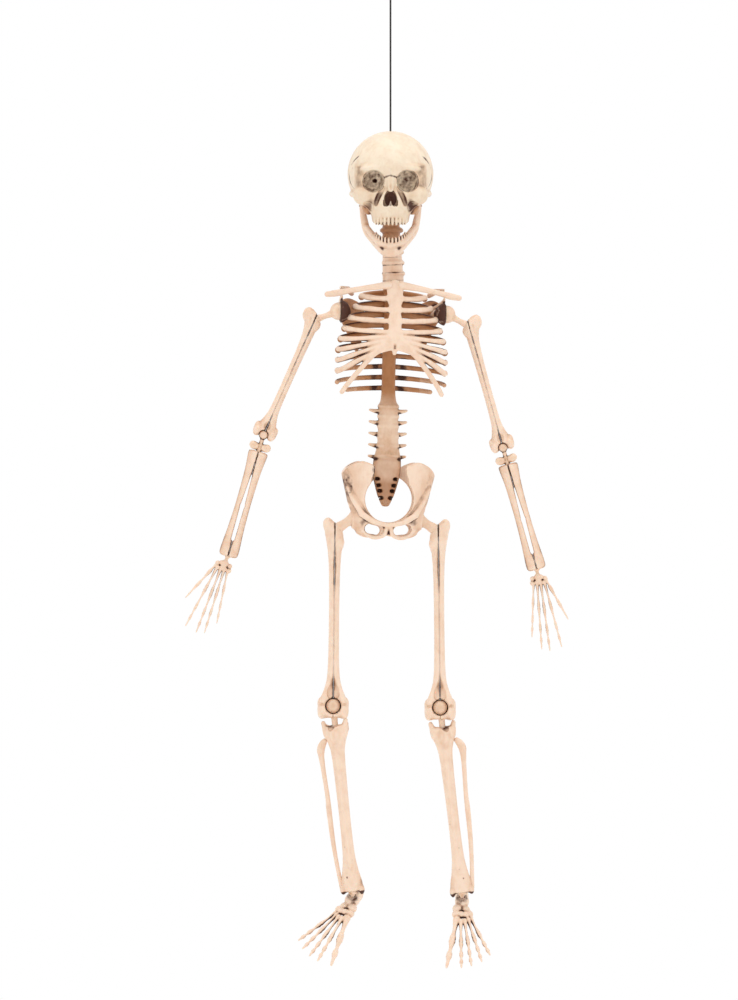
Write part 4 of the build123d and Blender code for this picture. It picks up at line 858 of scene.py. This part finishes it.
def makePelvis():
    clay = Clay((-60, -38, -246), (60, 40, -156), 0.8)
    wing = [(12, -169), (20, -164), (32, -161), (47, -169), (54.5, -184), (51, -199), (42, -209), (43, -222),
            (40, -234), (24, -243), (8, -242), (0, -240.5)]
    outline = wing + [(-x, z) for x, z in wing[-2::-1]]

    def bowl(x, y, z):
        at = z.ravel()
        wide = np.interp(at, (-244, -222, -158), (29.5, 38.0, 54.0))[None, None, :]
        deep = np.interp(at, (-244, -222, -158), (20.5, 26.4, 33.0))[None, None, :]
        ring = np.sqrt((x / wide) ** 2 + ((y - 2) / deep) ** 2)
        shell = np.abs((ring - 0.95) * np.minimum(wide, deep)) - 2.1
        flat = insideOutline(outline, x[:, 0, :][:, None, :], z[0, 0, :][None, None, :])
        slope = -(y + 14) * 0.61 + (z + 158) * 0.79 - 4
        return softMax(softMax(shell, flat, 1.5), slope - 0.0 * x, 1.5)
    clay.put(bowl, (-58, -38, -246), (58, 40, -156), 1.0)
    for way in (-1, 1):
        clay.strand([(way * 44, -10, -190, 1.6), (way * 38, -14, -203, 2.6), (way * 30, -20, -216, 3.0)], 3.5)
        clay.lump((way * 33.3, 4, -222.2), (9.6, 12.4, 12.4), 3)
        clay.strand([(way * 29, -20, -218, 3.4), (way * 14, -26, -227, 3.0), (way * 1, -27, -228, 3.2)], 2)
        clay.strand([(way * 2, -25, -231, 2.5), (way * 5, -22, -240, 2.5), (way * 17, -17, -242.5, 2.4),
                     (way * 27, -10, -234, 3.0)], 1.5)
    clay.rod((0, -60, -201), (0, 14, -201), 26.0, 26.0, 1.2, True)
    clay.rod((3, 0, -201), (3, 48, -201), 24.0, 26.5, 1.2, True)
    clay.rod((0, -60, -170), (0, 12, -170), 16.5, 16.5, 2.0, True)
    clay.rod((0, -60, -184), (0, 12, -184), 19.5, 19.5, 2.0, True)
    for way in (-1, 1):
        clay.slot((way * 10.5, 0, -235.2), (way * 19.5, 0, -233.6), 4.9, 5.4, 1, 1.2)
        clay.lump((way * 40, -18, -240), (9, 16, 8), 3, True)
        clay.lump((way * 43, 4, -222.2), (13.5, 11.2, 11.2), 0.8, True)
    clay.strand([(0, -31.5, -224, 0.7), (0, -31, -232, 0.9)], 0.5, True)
    return clay


def pelvisStainsAndShade(points):     # a stained rim round a hollow on one wing and dark joints beside the sacrum, with painted shade on the undersides
    x, y, z = points.T
    ring = np.sqrt(((x + 45) / 4.0) ** 2 + ((z + 188) / 8.0) ** 2)
    rough = 0.5 + 0.5 * waves(x, y, z, 9.0, 31)
    rim = np.exp(-((ring - 0.9) / 0.6) ** 2) * rough ** 2 * (x < 0) * 0.7
    joint = np.exp(-((np.abs(x) - 18) / 3.2) ** 2) * np.exp(-((z + 171) / 7.0) ** 2) * (x < 0)
    low = 0.55 * np.exp(-((z + 226) / 4.0) ** 2) * np.exp(-((np.abs(x) - 27) / 4.0) ** 2)
    return np.clip(rim + 0.8 * joint + low, 0, 1)


def makeClavicle():
    clay = Clay((2, -32, 8), (76, 6, 36), 0.7)
    clay.strand([(6.5, -21.5, 29.5, 4.4), (26, -24, 26.5, 3.3), (48, -13, 22.5, 3.0), (62, -4, 19.5, 3.6),
                 (71.5, 0, 18, 3.0)], 1.0, False, 40)
    return clay


def makeBlade():
    clay = Clay((16, -14, -50), (70, 46, 24), 0.8)
    blade = [(28, 8), (44, 15), (55, 11), (57, 0), (48, -18), (36, -42), (30, -34), (27, -12)]

    def plate(x, y, z):
        flat = insideOutline(blade, x[:, 0, :][:, None, :], z[0, 0, :][None, None, :], 60)
        return softMax(flat, np.abs(y - 41) - 1.7, 1.2)
    clay.put(plate, (25, 38, -46), (60, 44, 18), 1.0)
    clay.strand([(46, 40, 4, 3.4), (52, 30, 8, 3.2), (57, 14, 13, 3.4), (58, 2, 15, 4.0)], 1.5)
    clay.rod((49, 40, 0), (50, 6, 0), 4.6, 5.2, 2)
    clay.strand([(42, 34, 20, 2.6), (50, 24, 26, 4.0), (58, 12, 28, 4.4), (63, 6, 25, 2.6)], 2)
    clay.lump((58.4, 0, 0), 12.6, 2)
    walled = clay.halve(0, -1, 56.8, 0.1, 0.8)
    walled.lump((58.4, 0, 0), 11.2, 0.5, True)
    return walled


def makeNeck(length):
    clay = Clay((-14, -14, -length - 10), (14, 14, 10), 0.7)
    clay.lump((0, 0, 0), 9.0)
    clay.rod((0, 0, 0), (0, 0, -length + 3), 8.6, 11.4, 1.5)
    for ring in range(5):
        z = -19 - ring * (length - 19) / 5
        clay.lump((0.5 * math.sin(5 * ring), 0, z), (12.3 - 0.4 * (ring % 2), 12.0, 4.6), 0.9)
        clay.lump((10.6, -1, z - 1), (2.4, 3, 2.2), 1.2)
    return clay.halve(2, 1, -length + 0.4, 0.0, 0.8)


# skull, in upright axes from the crown: x to the figure's left, y back, z up
orbit = {"x": 18.3, "z": -55.3, "radius": 12.2, "depth": 14.0}


def makeSkull():
    clay = Clay((-48, -60, -105), (48, 60, 1), 0.8)
    clay.lump((0, 0, -46.5), (46.3, 57.6, 46.3))
    clay.put(lambda x, y, z: -(z + 76) + 0 * x + 0 * y, (-50, -62, -106), (50, 62, -76), 4.0, True, 3.0)
    clay.lathe([(-40, 34, 15, 0, -36), (-56, 35.5, 18, 0, -36), (-70, 34.5, 18, 0, -36.5), (-80, 28, 17, 0, -37),
                (-90, 21.5, 16.5, 0, -38), (-98, 19.5, 15.6, 0, -38), (-101, 17.6, 14.4, 0, -38)], 4)
    for way in (-1, 1):
        clay.lump((way * 18, -47, -42), (14, 7, 4.5), 5)
        clay.lump((way * 31, -36, -68), (8.0, 12, 7.5), 6)
        clay.strand([(way * 33, -34, -70, 4.2), (way * 39, -18, -69, 3.2), (way * 41, -4, -68, 3.6)], 2)
        clay.lump((way * 23.5, -24, -82), (7.5, 12, 9), 3.0)
        clay.lump((way * 29, -42, -72), (10.5, 10, 9.0), 5)
        clay.lump((way * 24.5, -50, -84), (5.5, 9, 6.0), 2.0, True)
        clay.rod((way * orbit["x"], -74, orbit["z"]), (way * orbit["x"], -48, orbit["z"]), orbit["radius"] + 0.6,
                 orbit["radius"] - 0.8, 1.0, True)
    clay.lump((-orbit["x"] + 1.5, -35.5, orbit["z"] + 0.5), (2.0, 4, 2.0), 0.5, True)
    for way in (-1, 1):
        clay.strand([(way * 8, -55, -63, 1.4), (way * 13, -52, -72, 2.0), (way * 16, -51, -80, 1.4)], 2.5, True)
    clay.strand([(0, -53, -50, 3.4), (0, -56, -58, 3.4), (0, -56.5, -64, 3.0)], 3)
    for way in (-1, 1):
        clay.strand([(way * 1.6, -54, -66.5, 1.6), (way * 3.4, -52, -73.5, 3.6), (way * 4.6, -51, -80, 3.5)],
                    0.6, True)
        clay.strand([(way * 3.4, -58, -72, 2.9), (way * 4.6, -58, -80, 3.0)], 0.6, True)
    for tooth in range(10):
        turn = (tooth - 4.5) * 0.215
        x, y = 19.0 * math.sin(turn), -36 - 18.2 * math.cos(turn)
        clay.lump((x, y + 0.8, -97.0 - 1.2 * math.cos(turn * 1.4)), (2.15, 2.5, 5.2), 0.25)
    clay.lump((0, 2, -88), 12.5, 1.5, True)
    return clay


def skullMarks(points):
    total = 0.9 * nearCurve(points, [(-8, -55, -52), (-2, -57, -50), (3, -57, -50.2), (8, -55, -52)], 1.3)
    for way in (-1, 1):
        total = total + nearCurve(points, [(way * 34, -34, -26), (way * 40, -22, -36), (way * 43, -16, -46),
                                           (way * 43, -18, -58), (way * 38, -28, -66)], 1.5)
        skinSide = np.hypot(points[:, 1] / 57.6, (points[:, 2] + 46.5) / 46.3)
        temple = np.exp(-((points[:, 1] + 24) / 5.0) ** 2) * np.exp(-((points[:, 2] + 44) / 13.0) ** 2)
        rough = 0.5 + 0.5 * waves(points[:, 0], points[:, 1], points[:, 2], 7.0, 21)
        total = total + (0.75 if way < 0 else 0.3) * temple * rough * (points[:, 0] * way > 30) * (skinSide < 1.1)
        # painted shade in the pockets under the cheekbones, heavier on the figure's left
        pocket = np.exp(-((points[:, 0] - way * 22) / 4.5) ** 2 - ((points[:, 2] + 82) / 6.0) ** 2)
        total = total + (0.85 if way > 0 else 0.35) * pocket * (points[:, 1] < -30)
    # orbits: painted shade deep in the eye sockets, made uneven by a swirl
    for way in (-1, 1):
        away = np.hypot(points[:, 0] - way * orbit["x"], points[:, 2] - orbit["z"])
        swirl = 0.5 + 0.5 * waves(points[:, 0], points[:, 1], points[:, 2], 9.0, 27)
        total = total + (0.30 + 0.45 * swirl) * np.clip((orbit["radius"] + 0.2 - away) / 1.2, 0,
                                                        1) * (points[:, 1] < -30)
    # nose opening: painted shade in the cavity
    nose = np.hypot(points[:, 0] / 6.8, (points[:, 2] + 75) / 8.4)
    total = total + 0.7 * np.clip((1.0 - nose) * 5, 0, 1) * (points[:, 1] > -54.4) * (points[:, 1] < -40)
    total = total + 0.6 * nearCurve(points, [(0.6, -57, -42), (0.0, -57.5, -46), (0.7, -57, -50)], 0.6)
    return np.minimum(total, 1)


def skullShade(points):     # painted shade: warm amber where the cheek's hollow lies in shadow, under and behind the cheekbones
    x, y, z = np.abs(points[:, 0]), points[:, 1], points[:, 2]
    return np.clip((y + 44) / 5, 0, 1) * np.clip((-77 - z) / 3, 0, 1) * (x > 15) * 0.9


def makeJaw():
    clay = Clay((-36, -54, -43), (36, 6, 6), 0.7)
    for way in (-1, 1):
        clay.lump((way * 30.5, 0, 0), (2.6, 5.0, 5.0), 1.0)
        clay.strand([(way * 30.5, 0, -2, 3.0), (way * 28.5, -4, -14, 3.8), (way * 25.0, -8, -26, 4.4),
                     (way * 16.5, -22, -32.5, 5.0), (way * 9, -37, -35.5, 5.6), (way * 4, -45.0, -36.5, 5.8),
                     (0, -45.5, -36.5, 5.8)], 1.4, False, 40)
        clay.strand([(way * 25.5, -10, -21, 3.0), (way * 18.5, -24, -26, 3.6), (way * 11, -39, -28, 4.0),
                     (0, -45.5, -29, 4.2)], 2.2, False, 30)
    for tooth in range(12):
        turn = (tooth - 5.5) * 0.225
        x, y = 16.5 * math.sin(turn), -20 - 27.5 * math.cos(turn)
        clay.lump((x, y, -23.6), (1.6, 1.9, 4.0), 0.25)
    for way in (-1, 1):
        clay.lump((way * 9, -50.5, -33), (1.6, 1.6, 1.6), 0.6, True)
    clay.rod((-40, 0, 0), (40, 0, 0), 1.55, 1.55, 0.2, True)
    return clay


print("trunk and skull")
crown = np.array([0, 0, placeOf("jaw_hinge")[2] + 81.0 * mm])
upright = (crown, np.eye(3))
tilt = math.radians(20.0)
jawPlace = frameOf(placeOf("jaw_hinge"), np.array([1.0, 0, 0]), np.array([0, -math.sin(tilt), math.cos(tilt)]))
neckTop, collar = placeOf("head_nod"), placeOf("neck_turn")
neckZ = axisOf("neck_turn") * (1 if axisOf("neck_turn")[2] > 0 else -1)
neckPlace = frameOf(neckTop, axisOf("head_nod"), neckZ)
pieceFrom("rib_cage_front_look", makeCageFront(), torso, 1, "torso", ["rib_cage_front"], limbBone)
# back ribs: warm painted shade over the inside of the cage, less on the lower outer ends, and painted shade in the
# corners beside the spine
pieceFrom("rib_cage_back_look", makeCageBack(), torso, 1, "torso", ["rib_cage_back"], trunkShadedBone,
          ribCornerShade, lambda points: 0.95 - 0.35 * (points[:, 2] < -66) * (np.abs(points[:, 0]) > 34))
# spine: warm painted shade on the part inside the ribcage and, less, on the sacrum, and painted shade under the
# side processes
pieceFrom("spine_look", makeSpine(), torso, 1, "torso", ["spine_column"], trunkShadedBone, spineUndersideShade,
          lambda points: np.clip((points[:, 2] + 108) / 24, 0, 1) + np.clip((-178 - points[:, 2]) / 12, 0, 0.55))
pieceFrom("pelvis_look", makePelvis(), torso, 1, "torso", ["pelvis"], limbBone, pelvisStainsAndShade)
clavicle, blade = makeClavicle(), makeBlade()
for sideName, side in sides:
    pieceFrom(f"{sideName}_clavicle_look", clavicle, torso, side, "torso", [f"{sideName}_clavicle"], limbBone)
    # shoulder blade: dark round the socket, part stain and part painted shadow, and warm painted shade on the back
    # plate
    pieceFrom(f"{sideName}_shoulder_blade_look", blade, torso, side, "torso", [f"{sideName}_shoulder_blade"],
              limbBone,
              lambda points: np.clip((15.0 - np.linalg.norm(points - [58.4, 0, 0], axis=1)) / 1.6, 0, 1) * 1.3,
              lambda points: (points[:, 1] > 36) * 0.8)
# neck: lines round the lower part; the upper neck, behind the mouth, gets warm painted shade
pieceFrom("neck_look", makeNeck(np.linalg.norm(neckTop - collar) / mm), neckPlace, 1, "neck", ["neck_column"],
          limbBone,
          lambda points: 0.55 * np.exp(-((np.mod(points[:, 2] + 19, 8.4) - 4.2) / 0.7) ** 2) * (points[:,
                                                                                                       2] < -34),
          lambda points: np.clip((points[:, 2] + 34) / 12, 0, 0.8))
skull = makeSkull()
pieceFrom("skull_face_look", skull.halve(1, -1, 2.0), upright, 1, "skull", ["skull_face"], skullBone,
          skullMarks, skullShade)
pieceFrom("skull_back_look", skull.halve(1, 1, 2.0), upright, 1, "skull", ["skull_back"], skullBone,
          skullMarks)
pieceFrom("jaw_look", makeJaw(), jawPlace, 1, "jaw", ["jaw"], limbBone,
          lambda points: 0.9 * np.exp(-((np.abs(points[:, 0]) - 9) / 2.2) ** 2 - ((points[:, 2] + 33) / 1.8) ** 2))


print("cord")
cordLook = {"diameter": 2.0, "length": 218.0, "loopKnot": -27.0, "crownKnot": -185.7,
            "colour": (0.014, 0.013, 0.012, 1), "lay": 0.0011}


def cordMaterial():     # twisted black thread
    material, tree, shader, start = newMaterial("twisted black thread")
    fibre = noise(start, 0.0005, 3.0)
    twist = start.made("ShaderNodeTexWave", None, {"Vector": start, "Scale": 0.314 / cordLook["lay"],
                                                   "Distortion": 1.0}, 1, bands_direction="DIAGONAL")
    colour = fibre.ramp(0.3, 0.8).toward(cordLook["colour"], (0.05, 0.046, 0.042, 1))
    tree.links.new(colour.socket, shader.inputs["Base Color"])
    shader.inputs["Roughness"].default_value = 0.85
    bump = start.made("ShaderNodeBump", None, {"Strength": 0.8, "Distance": 0.0004, "Height": twist + fibre * 0.5})
    tree.links.new(bump.socket, shader.inputs["Normal"])
    return material


def turns(radius, height, count, thick):     # rows along a helix about z
    steps = np.linspace(0, 1, int(count * 16))
    return [(radius * math.cos(step * count * math.tau), radius * math.sin(step * count * math.tau),
             (step - 0.5) * height, thick) for step in steps]


def makeLoopKnot():     # four wraps of the cord about itself
    clay = Clay((-4.2, -4.2, -5.6), (4.2, 4.2, 5.6), 0.2)
    clay.rod((0, 0, -4.2), (0, 0, 4.2), 1.9, 1.9, 0.3)
    clay.strand(turns(2.3, 7.4, 4, 1.05), 0.15, False, 140)
    return clay


def makeCrownKnot():     # two crossed wraps, drawn tight under the skull
    clay = Clay((-4.2, -4.2, -4.2), (4.2, 4.2, 4.2), 0.2)
    clay.lump((0, 0, 0), 2.3, 0.3)
    for tip in (-0.6, 0.6):
        rows = [(x, y * math.cos(tip) - z * math.sin(tip), y * math.sin(tip) + z * math.cos(tip), r)
                for x, y, z, r in turns(2.3, 0.4, 1, 1.05)]
        clay.strand(rows, 0.15, False, 60)
    return clay


def makeJawPins():
    clay = Clay((-33.6, -2.4, -2.4), (33.6, 2.4, 2.4), 0.3)
    for way in (-1, 1):
        clay.rod((way * 23.5, 0, 0), (way * 32.6, 0, 0), 1.45, 1.45, 0.2)
    return clay


thread = cordMaterial()
line = bpy.data.curves.new("hanging_cord_look", "CURVE")
line.dimensions = "3D"
line.bevel_depth = cordLook["diameter"] / 2 * mm
line.bevel_resolution = 5
line.resolution_u = 10
line.use_fill_caps = True
route = [(0, 0, -182.1), (0, 0, -40.5), (0, 0, -27), (6.2, 0, -15), (6.2, 0, -2.632), (2.568, 0, 1),
         (-2.568, 0, 1), (-6.2, 0, -2.632), (-6.2, 0, -15), (-2.48, 0, -22.2)]
run = line.splines.new("NURBS")
run.points.add(len(route) - 1)
for point, (x, y, z) in zip(run.points, route):
    point.co = (x * mm, y * mm, z * mm, 1)
run.order_u = 3
run.use_endpoint_u = True
line.materials.append(thread)
cordPiece = addObject("hanging_cord_look", line)
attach(cordPiece, "skull")
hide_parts("hanging_cord")
knots = [pieceFrom("loop_knot_look", makeLoopKnot(), (np.array([0, 0, cordLook["loopKnot"]]) * mm, np.eye(3)), 1,
                   "skull", ["loop_knot"], thread),
         pieceFrom("crown_knot_look", makeCrownKnot(), (np.array([0, 0, cordLook["crownKnot"]]) * mm,
                                                        np.eye(3)), 1,
                   "skull", ["crown_knot"], thread)]
pieceFrom("jaw_pins_look", makeJawPins(), (placeOf("jaw_hinge"), np.eye(3)), 1, "skull", ["jaw_pins"],
          limbBone)


print("camera and light")
view = {"centre": (-0.0232, 0.0, -0.5775), "distance": 14.0, "height": 1.080}

floor = bpy.data.meshes.new("floor")
floor.from_pydata([(-6, -6, -1.42), (6, -6, -1.42), (6, 6, -1.42), (-6, 6, -1.42)], [], [(0, 1, 2, 3)])
floorPiece = addObject("floor", floor)
white, _, whiteShader, _ = newMaterial("white ground")
whiteShader.inputs["Base Color"].default_value = (1.0, 1.0, 1.0, 1)
whiteShader.inputs["Roughness"].default_value = 0.9
floor.materials.append(white)

camera = bpy.data.cameras.new("camera")
cameraPiece = addObject("camera", camera)
camera.sensor_fit = "VERTICAL"
camera.sensor_height = 36.0
camera.lens = 36.0 * view["distance"] / view["height"]
camera.clip_end = 40.0
camera.dof.use_dof = False
cameraPiece.location = (view["centre"][0], -view["distance"], view["centre"][2])
cameraPiece.rotation_euler = (math.radians(90), 0, 0)
bpy.context.scene.camera = cameraPiece

lamps = (("key", (-1.6, -3.0, 1.2), 1.4, 52.0), ("fill", (2.2, -2.6, 0.2), 2.4, 8.0),
         ("top", (0.2, -0.4, 2.2), 2.2, 22.0))
for name, spot, size, power in lamps:
    lamp = bpy.data.lights.new(name, "AREA")
    lamp.shape = "DISK"
    lamp.size = size
    lamp.energy = power
    lampPiece = addObject(name, lamp)
    lampPiece.location = spot
    aim = np.array([0, 0, -0.6]) - np.array(spot)
    lampPiece.rotation_euler = (math.atan2(math.hypot(aim[0], aim[1]), -aim[2]), 0, math.atan2(aim[0], -aim[1]))

world = bpy.data.worlds.new("world")
world.use_nodes = True
world.node_tree.nodes["Background"].inputs["Color"].default_value = (1, 1, 1, 1)
world.node_tree.nodes["Background"].inputs["Strength"].default_value = 1.0
bpy.context.scene.world = world
bpy.context.scene.view_settings.view_transform = "Standard"
bpy.context.scene.view_settings.look = "None"
